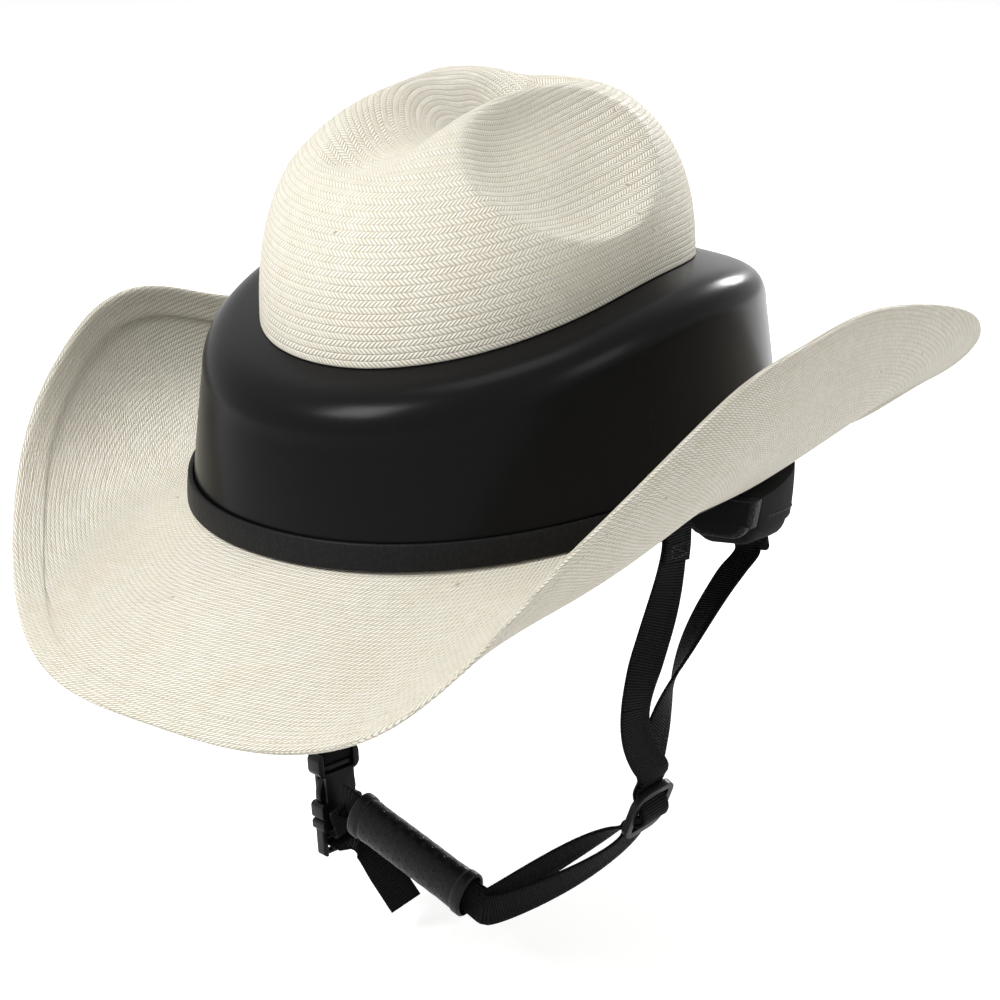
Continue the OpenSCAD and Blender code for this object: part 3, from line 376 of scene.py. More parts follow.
# Surface through loops of points, given in millimetres as an array [loop, point, 3].
# turns: the last point joins the first; closed: the last loop joins the first loop;
# tips: points that close the first and the last loop; weave: UV values [loop, point + 1, 2].
def skinMesh(name, loops, paint, turns=True, closed=False, tips=(None, None), weave=None, crease=40):
    loops = np.asarray(loops, float)
    count, size = loops.shape[:2]
    points = list(loops.reshape(-1, 3) * metre)
    faces, corners = [], []
    span = size if turns else size - 1
    for k in range(count if closed else count - 1):
        high = (k + 1) % count
        for i in range(span):
            j = (i + 1) % size
            faces.append((k * size + i, k * size + j, high * size + j, high * size + i))
            corners.append(((k, i), (k, i + 1), (k + 1, i + 1), (k + 1, i)))
    for end, tip in enumerate(tips):
        if tip is None:
            continue
        points.append(np.asarray(tip, float) * metre)
        k = 0 if end == 0 else count - 1
        for i in range(size):
            j = (i + 1) % size
            a, b = (k * size + j, k * size + i) if end == 0 else (k * size + i, k * size + j)
            faces.append((len(points) - 1, a, b))
            ca, cb = ((k, i + 1), (k, i)) if end == 0 else ((k, i), (k, i + 1))
            corners.append(((k, i), ca, cb))
    mesh = bpy.data.meshes.new(name)
    mesh.from_pydata([tuple(p) for p in points], [], faces)
    if weave is not None:
        weave = np.asarray(weave, float)
        layer = mesh.uv_layers.new(name="weave")
        flat = []
        for face in corners:
            for k, i in face:
                flat.extend(weave[min(k, weave.shape[0] - 1), min(i, weave.shape[1] - 1)])
        layer.data.foreach_set("uv", flat)
    mesh.polygons.foreach_set("use_smooth", [True] * len(mesh.polygons))
    mesh.update()
    mesh.set_sharp_from_angle(angle=math.radians(crease))
    piece = bpy.data.objects.new(name, mesh)
    bpy.context.scene.collection.objects.link(piece)
    mesh.materials.append(paints[paint])
    return piece


# Attaches a finished piece to its body, or, when two bodies are given, bakes its place into its mesh, and
# hides the CAD nodes it stands for
def settle(piece, body, slot, *nodes):
    if isinstance(body, str):
        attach(piece, body)
    else:
        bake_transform(piece)
    if nodes:
        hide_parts(*nodes)
    return piece


def dressNodes(paint, *nodes):
    for node in nodes:
        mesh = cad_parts[node].data
        mesh.materials.clear()
        mesh.materials.append(paints[paint])


# Short raised stitches along a path, each lying in the surface
def stitchLine(name, path, normals, paint, body, slot, pitch=3.2, length=2.3, radius=0.26, sink=0.1):
    path, normals = np.asarray(path, float), np.asarray(normals, float)
    steps = np.linalg.norm(np.diff(path, axis=0), axis=1)
    where = np.concatenate([[0], np.cumsum(steps)])
    at = lambda values, d: np.array([np.interp(d, where, values[:, k]) for k in range(3)])
    points, faces, sides = [], [], 5
    for n in range(int(where[-1] / pitch)):
        middle = (n + 0.5) * pitch
        base = len(points)
        for f in (-1, -0.55, 0, 0.55, 1):
            spot = at(path, np.clip(middle + f * length / 2, 0, where[-1]))
            up = at(normals, middle)
            up = up / np.linalg.norm(up)
            along = at(path, min(middle + 0.5, where[-1])) - at(path, max(middle - 0.5, 0))
            along = along / np.linalg.norm(along)
            out = np.cross(along, up)
            r = radius * math.sqrt(max(1 - 0.75 * f * f, 0.05))
            lift = radius * (1 - f * f) - sink
            for s in range(sides):
                a = 2 * math.pi * s / sides
                points.append(spot + up * (lift + r * math.sin(a)) + out * r * math.cos(a))
        for k in range(4):
            for s in range(sides):
                t = (s + 1) % sides
                near, far = base + k * sides, base + (k + 1) * sides
                faces.append((near + s, near + t, far + t, far + s))
        faces.append(tuple(base + s for s in range(sides))[::-1])
        faces.append(tuple(base + 4 * sides + s for s in range(sides)))
    mesh = bpy.data.meshes.new(name)
    mesh.from_pydata([tuple(q * metre) for q in points], [], faces)
    mesh.polygons.foreach_set("use_smooth", [True] * len(mesh.polygons))
    mesh.materials.append(paints[paint])
    piece = bpy.data.objects.new(name, mesh)
    bpy.context.scene.collection.objects.link(piece)
    return settle(piece, body, slot)


# The hat's own rules: an oval, a swaying rim and heights that follow the angle

oval = {
    "halfWidth": 109.0, "halfLength": 129.0, "headHalfWidth": 82.0, "headHalfLength": 102.0,
    "square": 2.15, "sway": 3.4, "tip": 1.2, "sideTurn": 105.0,
}


def unit(v):
    v = np.asarray(v, float)
    return v / np.linalg.norm(v, axis=-1, keepdims=True)


def softStep(x):
    f = np.clip(x, 0, 1)
    return f * f * (3 - 2 * f)


# Degrees from the front, on either side
def fromFront(t):
    return np.degrees(np.arccos(np.clip(np.cos(np.radians(t)), -1, 1)))


# Point of a squarish oval of half widths a and b, at t degrees from the front
def ovalPoint(t, a, b, n=oval["square"]):
    s, c = np.sin(np.radians(t)), np.cos(np.radians(t))
    r = (np.abs(s / a) ** n + np.abs(c / b) ** n) ** (-1 / n)
    return np.stack([r * s, -r * c], axis=-1)


def rimOval(t, inset):
    return ovalPoint(t, oval["halfWidth"] - inset, oval["halfLength"] - inset)


def rimHeight(t):
    return -oval["tip"] * np.cos(np.radians(t)) - oval["sway"] * np.cos(np.radians(2 * t))


# Flat points raised to a height
def lift(flat, z):
    return np.concatenate([flat, np.broadcast_to(z, flat.shape[:-1])[..., None]], axis=-1)


def rimLine(t):
    return lift(rimOval(t, 0.0), rimHeight(t))


# Height that goes from the front over the side to the back
def around(t, front, side, back):
    d = fromFront(t)
    ahead = front + (side - front) * softStep(d / oval["sideTurn"])
    behind = side + (back - side) * softStep((d - oval["sideTurn"]) / (180 - oval["sideTurn"]))
    return np.where(d < oval["sideTurn"], ahead, behind)


# Smooth value between b and c, with their neighbours a and d
def curve(a, b, c, d, f):
    return 0.5 * (2 * b + (c - a) * f + (2 * a - 5 * b + 4 * c - d) * f**2 + (3 * b - a - 3 * c + d) * f**3)


# Smooth value between the ones given at even steps from front to back
def station(values, t):
    values = np.asarray(values, float)
    last = len(values) - 1
    f = fromFront(t) / 180 * last
    i = np.minimum(np.floor(f), last - 1).astype(int)
    return curve(values[np.abs(i - 1)], values[i], values[i + 1], values[last - np.abs(last - i - 2)], f - i)


def angles(count):
    return 180 + np.arange(count) * 360 / count  # the join lies at the back


# UV values for loops round the hat: the turn from 0 to 1 and the metres along the surface
def hatWeave(loops):
    loops = np.asarray(loops, float)
    steps = np.linalg.norm(np.diff(loops, axis=0), axis=2)
    out = np.vstack([np.zeros(loops.shape[1]), np.cumsum(steps, axis=0)]) * metre
    out = np.hstack([out, out[:, :1]])
    turn = np.broadcast_to(np.linspace(0, 1, loops.shape[1] + 1), out.shape)
    return np.stack([turn, out], axis=-1)


# Outer shell, liner and trim

shell = {
    "front": 57.0, "side": 87.0, "back": 68.0, "round": 14.0, "lean": 6.0, "wall": 2.6,
    "domeTop": 137.0, "seatFront": 66.0, "seatSide": 89.0, "seatBack": 80.0,
    "insetFront": 29.5, "insetBack": 34.5, "lip": 3.5, "lipRound": 0.4, "lipGap": 0.8, "belly": 0.25,
}


def seatHeight(t):
    return around(t, shell["seatFront"], shell["seatSide"], shell["seatBack"])


def seatInset(t):
    share = softStep((fromFront(t) - 60) / 90)
    return shell["insetFront"] + (shell["insetBack"] - shell["insetFront"]) * share


# Rings of the shell from the rim, over the shoulder and the locating lip, to near the top
def shellRings(t, off, domeSteps=20):
    top, seat = around(t, shell["front"], shell["side"], shell["back"]), seatHeight(t)
    inset = seatInset(t)
    lipInset = inset + crown["thick"] + shell["lipGap"]
    foot = rimHeight(t) + 0.2
    lean, r = shell["lean"], shell["round"]
    turnIn, turnOutZ = top - r, top + (seat - top) * r / (inset - lean)
    rows = []
    for f in np.linspace(0, 1, 12):
        z = foot + (turnIn - foot) * f
        belly = np.sin(math.pi * f) * shell["belly"] * (1 if off == 0 else 0)
        rows.append((lean * f + off - belly, z))
    for f in np.linspace(0, 1, 13)[1:]:
        x = lean + r * f * f
        z = (1 - f) ** 2 * turnIn + 2 * f * (1 - f) * top + f * f * turnOutZ
        rows.append((x + off * np.cos(f * math.pi / 2), z - off * np.sin(f * math.pi / 2)))
    for f in np.linspace(0, 1, 7)[1:]:
        x = (lean + r) + (inset - lean - r) * f + off * shell["lipRound"] * f
        rows.append((x, turnOutZ + (seat - turnOutZ) * f - off))
    rows.append((lipInset - 0.4 + off, seat - off + 0.2))
    rows.append((lipInset + off, seat + shell["lip"] - off))
    rings = [lift(rimOval(t, np.broadcast_to(x, t.shape)), z) for x, z in rows]
    for k in range(1, domeSteps):
        rise = math.pi / 2 * k / domeSteps
        a = (oval["halfWidth"] - lipInset) * math.cos(rise) - off
        b = (oval["halfLength"] - lipInset) * math.cos(rise) - off
        z = seat + shell["lip"] + (shell["domeTop"] - seat - shell["lip"]) * math.sin(rise) - off
        rings.append(lift(ovalPoint(t, a, b), z))
    return np.array(rings)


def makeShell():
    t = angles(168)
    outside, inside = shellRings(t, 0), shellRings(t, shell["wall"])
    top = shell["domeTop"]
    loops = np.concatenate([inside[::-1], outside])
    tips = ((0, 0, top - shell["wall"]), (0, 0, top))
    piece = skinMesh("moulded_shell", loops, "shell", tips=tips, crease=50)
    settle(piece, "helmet", "shell", "outer_shell")


head = {"height": 118.0, "band": 30.0, "bandThick": 2.4, "bandRound": 0.58}


# How far the head's oval has closed in at a height
def headScale(z):
    return np.sqrt(np.maximum(1 - (np.maximum(z, 0) / head["height"]) ** 2, 0))


def headOval(t, z, off=0.0):
    s = headScale(z)
    return lift(ovalPoint(t, oval["headHalfWidth"] * s + off, oval["headHalfLength"] * s + off), z)


# Oval of the band below the head's dome
def ledgeOval(t, z, off):
    low = head["band"] + 1
    s = 1 + (headScale(low) - 1) * z / low
    return lift(ovalPoint(t, oval["headHalfWidth"] * s + off, oval["headHalfLength"] * s + off), z)


def makeLiner():
    t = angles(120)
    low = head["band"] + 1
    ledge = head["bandThick"] + 0.2
    inner = [ledgeOval(t, rimHeight(t) + 0.2, ledge), ledgeOval(t, np.full_like(t, low), ledge)]
    start, steps, gap = low + 0.6, 27, 0.2
    heights = [start + (head["height"] - low - 0.6) * math.sin(math.pi / 2 * k / steps) for k in range(1, 26)]
    for z in [low + 0.4] + heights:
        inner.append(headOval(t, np.full_like(t, z)))
    outer = shellRings(t, shell["wall"] + gap)
    loops = np.concatenate([np.array(inner)[::-1], outer])
    tips = ((0, 0, head["height"]), (0, 0, shell["domeTop"] - shell["wall"] - gap))
    piece = skinMesh("foam_bowl", loops, "foam", tips=tips)
    settle(piece, "helmet", "foam", "foam_liner")


trim = {"height": 11.0, "thick": 2.0, "edge": 0.7}


# How far the brim has risen at a distance outside the rim
def brimRise(t, out):
    t = np.asarray(t, float)
    first = brimPoint(t, hemStart(t) / 7, 0.0)
    start = rimLine(t)
    run = np.linalg.norm((first - start)[..., :2], axis=-1)
    return np.maximum(out * (first[..., 2] - start[..., 2]) / run, 0) + 0.2


def makeTrim():
    t = angles(168)
    foot = rimHeight(t) + 0.4
    leanBy = 0.8 * shell["lean"] / (shell["side"] - shell["round"])
    thick, high, edge = trim["thick"], trim["height"], trim["edge"]
    section = [(-0.2, 0.0)] + [(-thick, z) for z in (0.0, 1.5, 4.0, 7.0, high - edge)]
    for a in (0.5, 1.0, 1.57):
        section.append((-thick + edge * (1 - math.cos(a)), high - edge + edge * math.sin(a)))
    section += [(-0.7, high - 0.15), (-0.2, high - 0.3), (-0.2, high / 2)]
    loops = []
    for n, (x, z) in enumerate(section):
        height = brimRise(t, thick) if n == 1 else np.full_like(t, z)
        swell = 0.22 * math.sin(math.pi * z / high) if x <= -thick + 0.01 else 0
        loops.append(lift(rimOval(t, x - swell + height * leanBy), foot + height))
    piece = skinMesh("rim_trim", np.array(loops), "trim", closed=True, crease=55)
    settle(piece, "helmet", "trim", "shell_trim_band")


# Crown

crown = {
    "top": 165.0, "square": 2.5, "thick": 1.8, "creaseDeep": 24.0, "creaseEnds": (-67.0, 45.0),
    "creaseSpread": 19.0, "creaseFade": 9.0, "creaseEase": 2.6, "creaseWall": 3.0,
    "dentDeep": 16.5, "dentMiddle": (58.0, -14.0, 145.0), "dentReach": (36.0, 51.0, 35.5),
    "dentPull": (0.72, 0.6), "dentFall": 2.6, "dentRim": 1.35, "clear": 3.4, "clearFrom": 12.0,
}


# Point of the crown, u of the way from its foot to its top and off inside its outer face
def crownPoint(t, u, off):
    power = 2 / crown["square"]
    flat, tall = np.cos(math.pi / 2 * u) ** power, np.sin(math.pi / 2 * u) ** power
    foot = seatHeight(t) + 0.4
    p = lift(rimOval(t, seatInset(t) + off) * flat, foot + (crown["top"] - off - foot) * tall)
    x, y = p[..., 0], p[..., 1]
    ends = crown["creaseEnds"]
    past = np.maximum(np.maximum(ends[0] - y, y - ends[1]), 0) / crown["creaseFade"]
    beside = np.abs(x / crown["creaseSpread"]) ** crown["creaseWall"]
    crease = np.exp(-beside - past ** crown["creaseEase"]) * crown["creaseDeep"] * tall**4
    # Scoop with a marked rim, open towards the outside
    near = np.stack([np.minimum(np.abs(x), crown["dentMiddle"][0]), y, p[..., 2]], axis=-1)
    away = np.linalg.norm((near - crown["dentMiddle"]) / crown["dentReach"], axis=-1)
    dent = np.maximum(1 - away ** crown["dentFall"], 0) ** crown["dentRim"] * crown["dentDeep"]
    p[..., 0] = x - np.sign(x) * dent * crown["dentPull"][0]
    p[..., 2] -= crease + dent * crown["dentPull"][1]
    # The straw lies on the dome where a dent would go deeper
    foot, spare = seatHeight(t), crown["clear"] - off
    lipInset = seatInset(t) + crown["thick"] + shell["lipGap"] - spare
    high = shell["domeTop"] + spare - foot
    across, along = p[..., 0] / (oval["halfWidth"] - lipInset), p[..., 1] / (oval["halfLength"] - lipInset)
    reach = np.sqrt(across**2 + along**2 + (np.maximum(p[..., 2] - foot, 0) / high) ** 2)
    push = np.maximum(1 - reach, 0) * (p[..., 2] > foot + crown["clearFrom"])
    p[..., 0] *= 1 + push
    p[..., 1] *= 1 + push
    p[..., 2] += np.maximum(p[..., 2] - foot, 0) * push
    return p


def makeCrown():
    t = angles(180)
    steps = 84
    rises = [(k / steps) ** 1.2 for k in range(steps)]
    outside = np.array([crownPoint(t, u, 0.0) for u in rises])
    inside = np.array([crownPoint(t, u, crown["thick"]) for u in rises])
    tip = [crownPoint(np.array([0.0]), 0.999999, off)[0] for off in (0.0, crown["thick"])]
    # Rows run parallel to the foot and close in on the middle of the top
    weave = hatWeave(outside)
    mean = weave[..., 1].mean(axis=1, keepdims=True)
    weave[..., 1] = weave[..., 1] * 0.35 + mean * 0.65
    weave = np.concatenate([weave[::-1], weave])
    loops = np.concatenate([inside[::-1], outside])
    piece = skinMesh("straw_crown", loops, "crown", tips=(tip[1], tip[0]), weave=weave, crease=60)
    settle(piece, "helmet", "straw", "crown_straw")


# Brim

brim = {
    "length": 421.0, "width": 308.0, "shift": 14.0, "squareFront": 2.35, "squareBack": 4.6, "taper": 0.2,
    "edge": (-53, -42, 28, 68, 77, 75, 52, 1, -37), "sagRight": 32.0, "sagIn": (56, 92), "sagOut": (110, 180),
    "bulge": (-4, 20, 11, 8, -4), "hem": 11.0, "hemThick": 0.9, "thick": 1.8,
    "inside": 3.2, "threadInset": 4.6, "firstRow": 0.004,
}


# The right side of the brim hangs lower than the left
def edgeHeight(t):
    d = fromFront(t)
    rise = softStep((d - brim["sagIn"][0]) / (brim["sagIn"][1] - brim["sagIn"][0]))
    fade = softStep((d - brim["sagOut"][0]) / (brim["sagOut"][1] - brim["sagOut"][0]))
    sag = np.where(np.sin(np.radians(t)) < 0, brim["sagRight"] * rise * (1 - fade), 0)
    return station(brim["edge"], t) - sag


def edgePoint(t):
    n = np.where(np.cos(np.radians(t)) > 0, brim["squareFront"], brim["squareBack"])
    p = ovalPoint(t, brim["width"] / 2, brim["length"] / 2, n)
    x = p[..., 0] * (1 - brim["taper"] * p[..., 1] / (brim["length"] / 2))
    return np.stack([x, p[..., 1] + brim["shift"], edgeHeight(t)], axis=-1)


# Distance from the rim to the edge
def brimReach(t):
    return np.linalg.norm(edgePoint(t) - rimLine(t), axis=-1)


def hemStart(t):
    return 1 - brim["hem"] / brimReach(t)


# Upper face of the brim, s of the way from the rim to the edge, raised by up
def brimPoint(t, s, up):
    start, end = rimLine(t), edgePoint(t)
    flat = (end - start)[..., :2]
    reach = np.linalg.norm(flat, axis=-1)
    out = flat / reach[..., None]
    drop = end[..., 2] - start[..., 2]
    chord = np.arctan2(drop, reach)
    bulge = station(brim["bulge"], t)
    bow = 4 * bulge * s * (1 - s)
    slope = chord - np.arctan(4 * bulge * (1 - 2 * s) / np.sqrt(reach**2 + drop**2))
    h = reach * s + bow * np.sin(chord) - up * np.sin(slope)
    z = start[..., 2] + drop * s - bow * np.cos(chord) + up * np.cos(slope)
    return np.concatenate([start[..., :2] + out * h[..., None], z[..., None]], axis=-1)


def makeBrim():
    t = angles(240)
    hem, reach = hemStart(t), brimReach(t)
    inner = ovalPoint(t, oval["headHalfWidth"] + brim["inside"], oval["headHalfLength"] + brim["inside"])
    thick, fold, steps = brim["thick"], brim["hemThick"], 30
    edge = np.ones_like(t)
    loops = [lift(inner, rimHeight(t) - thick), lift(rimOval(t, 0.0), rimHeight(t) - thick)]
    loops += [brimPoint(t, k / steps * (1 - 1.2 / reach), -thick) for k in range(1, steps + 1)]
    loops += [brimPoint(t, 1 - 0.4 / reach, -thick * 0.9), brimPoint(t, edge, -thick * 0.45)]
    underCount = len(loops)
    loops += [brimPoint(t, edge, fold * 0.1), brimPoint(t, 1 - 0.35 / reach, fold * 0.75)]
    for d, h in ((1.2, 1.05), (2.6, 1.15), (4.0, 1.0), (5.2, 0.98), (7.0, 1.1), (9.0, 1.05)):
        loops.append(brimPoint(t, 1 - d / reach, fold * h))
    loops += [brimPoint(t, hem + 0.6 / reach, fold * 0.95), brimPoint(t, hem + 0.05 / reach, fold * 0.7)]
    loops += [brimPoint(t, hem - 0.15 / reach, 0.02)]
    loops += [brimPoint(t, hem * k / steps, 0.0) for k in range(steps - 1, 0, -1)]
    loops += [rimLine(t), lift(inner, rimHeight(t))]
    loops = np.array(loops)
    # Both faces carry rows at the same distance from the rim
    weave = hatWeave(loops)
    under, over = weave[:underCount, :, 1], weave[underCount:, :, 1]
    weave[..., 1] = np.concatenate([under, over[-1:] - over]) + brim["firstRow"]
    weave = np.concatenate([weave, weave[:1]])
    piece = skinMesh("straw_brim", loops, "brim", closed=True, weave=weave, crease=70)
    settle(piece, "helmet", "straw", "brim_straw")
    # Thread that holds the hem, seen as a fine line on both faces
    ring = np.append(t, t[:1])
    s = 1 - brim["threadInset"] / brimReach(ring)
    for name, side in (("hem_thread_top", 1), ("hem_thread_under", -1)):
        on = brimPoint(ring, s, fold if side > 0 else -thick)
        normal = (brimPoint(ring, s, 1.0) - brimPoint(ring, s, 0.0)) * side
        stitchLine(
            name, on, normal, "strawThread", "helmet", "straw",
            pitch=3.0, length=2.2, radius=0.2, sink=0.12,
        )


makeShell()
makeLiner()
makeTrim()
makeCrown()
makeBrim()
print("shell, liner, trim, crown and brim made")


# Sweatband, cushions and nape pad

def makeSweatband():
    t = angles(144)
    thick, edge, high = head["bandThick"], 0.3, head["band"]
    foot = rimHeight(t) - 2.8
    level = lambda z: np.full_like(t, z)
    rows = [ledgeOval(t, foot + 0.5, edge * 0.6), ledgeOval(t, foot, 0.9), ledgeOval(t, foot, 1.5)]
    rows += [ledgeOval(t, foot + 0.6, thick - edge * 0.4), ledgeOval(t, foot + 4, thick - 0.05)]
    rows += [ledgeOval(t, level(high * 0.7), thick), ledgeOval(t, level(high - 1), thick)]
    rows += [ledgeOval(t, level(high), thick - 0.5)]
    rows += [ledgeOval(t, level(high), 3 * edge), ledgeOval(t, level(high - 0.8), 1.2 * edge)]
    # Soft channels quilted round the band on the side of the head
    for z in np.linspace(high - 3, 1.5, 26):
        soft = 0.30 * (1 - abs(math.sin(math.pi * (z - 1.5) / 9.2)) ** 0.5)
        rows.append(ledgeOval(t, level(z), 0.12 + soft))
    rows += [ledgeOval(t, foot + 2.4, 0.25)]
    loops = np.array(rows)
    weave = hatWeave(loops)
    weave[..., 0] *= head["bandRound"]
    weave = np.concatenate([weave, weave[:1]])
    piece = skinMesh("sweatband_cloth", loops, "sweatband", closed=True, weave=weave)
    settle(piece, "helmet", "cloth", "sweatband")


cushions = {
    "gap": 0.6, "thick": 5.0, "seamWide": 1.5, "seamDeep": 0.38,
    "piping": 0.35, "pipingAt": 0.93, "pipingWide": 0.045,
    "brow": {"from": -44, "to": 44, "low": 36, "high": 60, "seams": (-15, 15)},
    "left": {"from": 58, "to": 122, "low": 38, "high": 66, "seams": (90,)},
    "right": {"from": -122, "to": -58, "low": 38, "high": 66, "seams": (-90,)},
}


# Crowned cushion on the liner's inside, drawn in at its seams and piped along its rim
def makeCushion(name, node, look, steps=72):
    section, loops = np.linspace(0, 1, 31), []
    tall, thick, gap = look["high"] - look["low"], cushions["thick"], cushions["gap"]
    for i in range(steps + 1):
        f = i / steps
        end = 1 - (2 * f - 1) ** 8
        t = np.array([look["from"] + (look["to"] - look["from"]) * (0.004 + 0.992 * f)])
        narrow = 0.5 * (1 - max(end, 0.0) ** 0.5) * 0.55
        seam = sum(math.exp(-(((t[0] - s) / cushions["seamWide"]) ** 2)) for s in look["seams"])
        ring = []
        for q in section:
            z = look["low"] + tall * (narrow + (1 - 2 * narrow) * q)
            crownedBy = max(1 - (2 * q - 1) ** 6, 0) ** 0.5 * max(end, 0.0) ** 0.5
            fromPiping = (abs(2 * q - 1) - cushions["pipingAt"]) / cushions["pipingWide"]
            piping = cushions["piping"] * math.exp(-(fromPiping**2)) * end
            full = 0.9 + 0.1 * math.cos(math.pi * (2 * q - 1) / 2)
            swell = thick * crownedBy * full * (1 - cushions["seamDeep"] * seam)
            ring.append(headOval(t, np.array([z]), -gap - min(swell + piping, thick * 1.02))[0])
        for q in section[-2:0:-3]:
            z = look["low"] + tall * (narrow + (1 - 2 * narrow) * q)
            ring.append(headOval(t, np.array([z]), -gap)[0])
        loops.append(ring)
    loops = np.array(loops)
    alongStep = np.linalg.norm(np.diff(loops, axis=0), axis=2)
    along = np.vstack([np.zeros(loops.shape[1]), np.cumsum(alongStep, axis=0)]) * metre
    acrossStep = np.linalg.norm(np.diff(loops, axis=1, append=loops[:, :1]), axis=2)
    across = np.concatenate([np.zeros((len(loops), 1)), np.cumsum(acrossStep, axis=1)], axis=1) * metre
    weave = np.stack([across, np.hstack([along, along[:, :1]])], axis=-1)
    tips = (loops[0].mean(axis=0), loops[-1].mean(axis=0))
    piece = skinMesh(name, loops, "cushion", tips=tips, weave=weave, crease=75)
    settle(piece, "helmet", "cushion", node)


def makeCrownPad():
    count, reach = 72, 0.5
    t = np.arange(count) * 360 / count
    rows = []
    for f in list(np.linspace(0.02, 0.46, 18)) + [0.475, 0.488, 0.496, 0.5]:
        share = math.sqrt(max(1 - (f / reach) ** 6, 0)) * (0.92 + 0.08 * math.cos(math.pi * f / reach / 2))
        quilt = 0.6 * math.exp(-(((f - 0.27) / 0.018) ** 2))
        drop = 0.6 + max(cushions["thick"] * share - quilt, 0)
        z = head["height"] * math.sqrt(1 - f * f) - 0.2 - drop
        a, b = oval["headHalfWidth"] * f * 0.985, oval["headHalfLength"] * f * 0.985
        rows.append(lift(ovalPoint(t, a, b), z))
    for f in (0.5, 0.4, 0.25, 0.1):
        z = head["height"] * math.sqrt(1 - f * f) - 0.7
        rows.append(lift(ovalPoint(t, oval["headHalfWidth"] * f, oval["headHalfLength"] * f), z))
    loops = np.array(rows)
    weave = hatWeave(loops)
    weave[..., 0] *= 0.2
    tips = ((0, 0, head["height"] - 0.8 - cushions["thick"]), (0, 0, head["height"] - 0.7))
    piece = skinMesh("crown_cushion", loops, "cushion", tips=tips, weave=weave, crease=75)
    settle(piece, "helmet", "cushion", "crown_pad")


nape = {
    "start": 109.0, "thick": 26.0, "outTop": 6.0, "outLow": 2.5, "round": 5.0,
    "endDrop": 26.0, "backDrop": 46.0, "ringThick": 2.6, "swell": 0.85, "seamUp": 12.5,
}


def ringUnder(t):
    return rimHeight(t) - brim["thick"] - 0.2 - nape["ringThick"]


# Height of the pad's lower edge, with a round corner at each end
def napeLow(t):
    fromEnd = np.minimum(t, 360 - t) - nape["start"]
    corner = 1 - np.clip(fromEnd / 3, 0, 1)
    share = softStep((fromEnd + 6) / 66)
    drop = nape["endDrop"] + (nape["backDrop"] - nape["endDrop"]) * share
    return rimHeight(t) - drop + nape["round"] * (1 - np.sqrt(1 - corner * corner))


# Section of the pad: millimetres inwards, millimetres up, and the share of the rise added
napeProfile = [
    (nape["thick"], 0.0, 1.0), (nape["thick"] * 0.66, 0.0, 1.0), (nape["thick"] * 0.33, 0.0, 1.0),
    (0.0, 0.0, 1.0), (0.0, 0.0, 0.93), (0.0, 0.0, 0.8), (0.0, 0.0, 0.62), (0.0, 0.0, 0.45), (0.0, 0.0, 0.3),
    (0.2, 10.0, 0.0), (0.5, 7.6, 0.0), (1.1, 5.0, 0.0), (2.0, 3.0, 0.0), (3.2, 1.5, 0.0), (4.8, 0.5, 0.0),
    (6.8, 0.0, 0.0), (10.0, 0.0, 0.0), (15.0, 0.0, 0.0), (19.0, 0.0, 0.0), (21.4, 0.8, 0.0), (23.4, 2.3, 0.0),
    (24.9, 4.6, 0.0), (25.8, 7.2, 0.0), (26.0, 10.0, 0.0), (26.0, 0.0, 0.4), (26.0, 0.0, 0.6),
    (26.0, 0.0, 0.8), (26.0, 0.0, 0.94),
]


def napeLoop(angle, extra, swell):
    t = np.array([float(angle)])
    top, low = ringUnder(t) - 0.2, napeLow(t) - extra
    ring = []
    for x, y, rise in napeProfile:
        edge = -extra if x < nape["thick"] / 2 else extra
        z = low + y + (top - low - y) * rise
        out = nape["outLow"] + (nape["outTop"] - nape["outLow"]) * rise
        share = min(max((z[0] - low[0]) / (top[0] - low[0]), 0), 1)
        belly = swell * math.sin(math.pi * share) ** 0.7
        side = -belly if x < 4 else (belly * 0.6 if x > 22 else 0)
        ring.append(lift(rimOval(t, x + edge - out + side), z)[0])
    return ring


def makeNape():
    start, near = nape["start"], np.array([0, 0.12, 0.35, 0.7, 1.2, 1.9, 2.7])
    spans = list(start + near) + list(np.linspace(start + 3.6, 356.4 - start, 110))
    spans += [360 - s for s in start + near[::-1]]
    loops = []
    for a in spans:
        d = min(a, 360 - a) - start
        swell = nape["swell"] * min(d / 5, 1) ** 0.5
        loops.append(napeLoop(a, -0.5 * max(1 - d / 0.7, 0), swell))
    loops = np.array(loops)
    tips = (loops[0].mean(axis=0), loops[-1].mean(axis=0))
    piece = skinMesh("nape_cushion", loops, "nape", tips=tips, crease=75)
    settle(piece, "helmet", "nape", "nape_pad")


# A seam and its stitches run along the pad just above its lower edge
def makeNapeSeam():
    seam, normals = [], []
    for a in np.linspace(nape["start"] + 4, 356 - nape["start"], 160):
        t = np.array([a])
        top, low = ringUnder(t) - 0.2, napeLow(t)
        z = low + nape["seamUp"]
        rise = (z - low) / (top - low)
        out = nape["outLow"] + (nape["outTop"] - nape["outLow"]) * rise
        belly = nape["swell"] * np.sin(math.pi * rise) ** 0.7
        seam.append(lift(rimOval(t, -out - belly), z)[0])
        outwards = rimOval(t, -out - belly - 1) - rimOval(t, -out - belly)
        normals.append(lift(outwards, np.array([0.0]))[0])
    stitchLine(
        "nape_seam", seam, normals, "thread", "helmet", "nape", pitch=4.0, length=2.8, radius=0.3,
    )


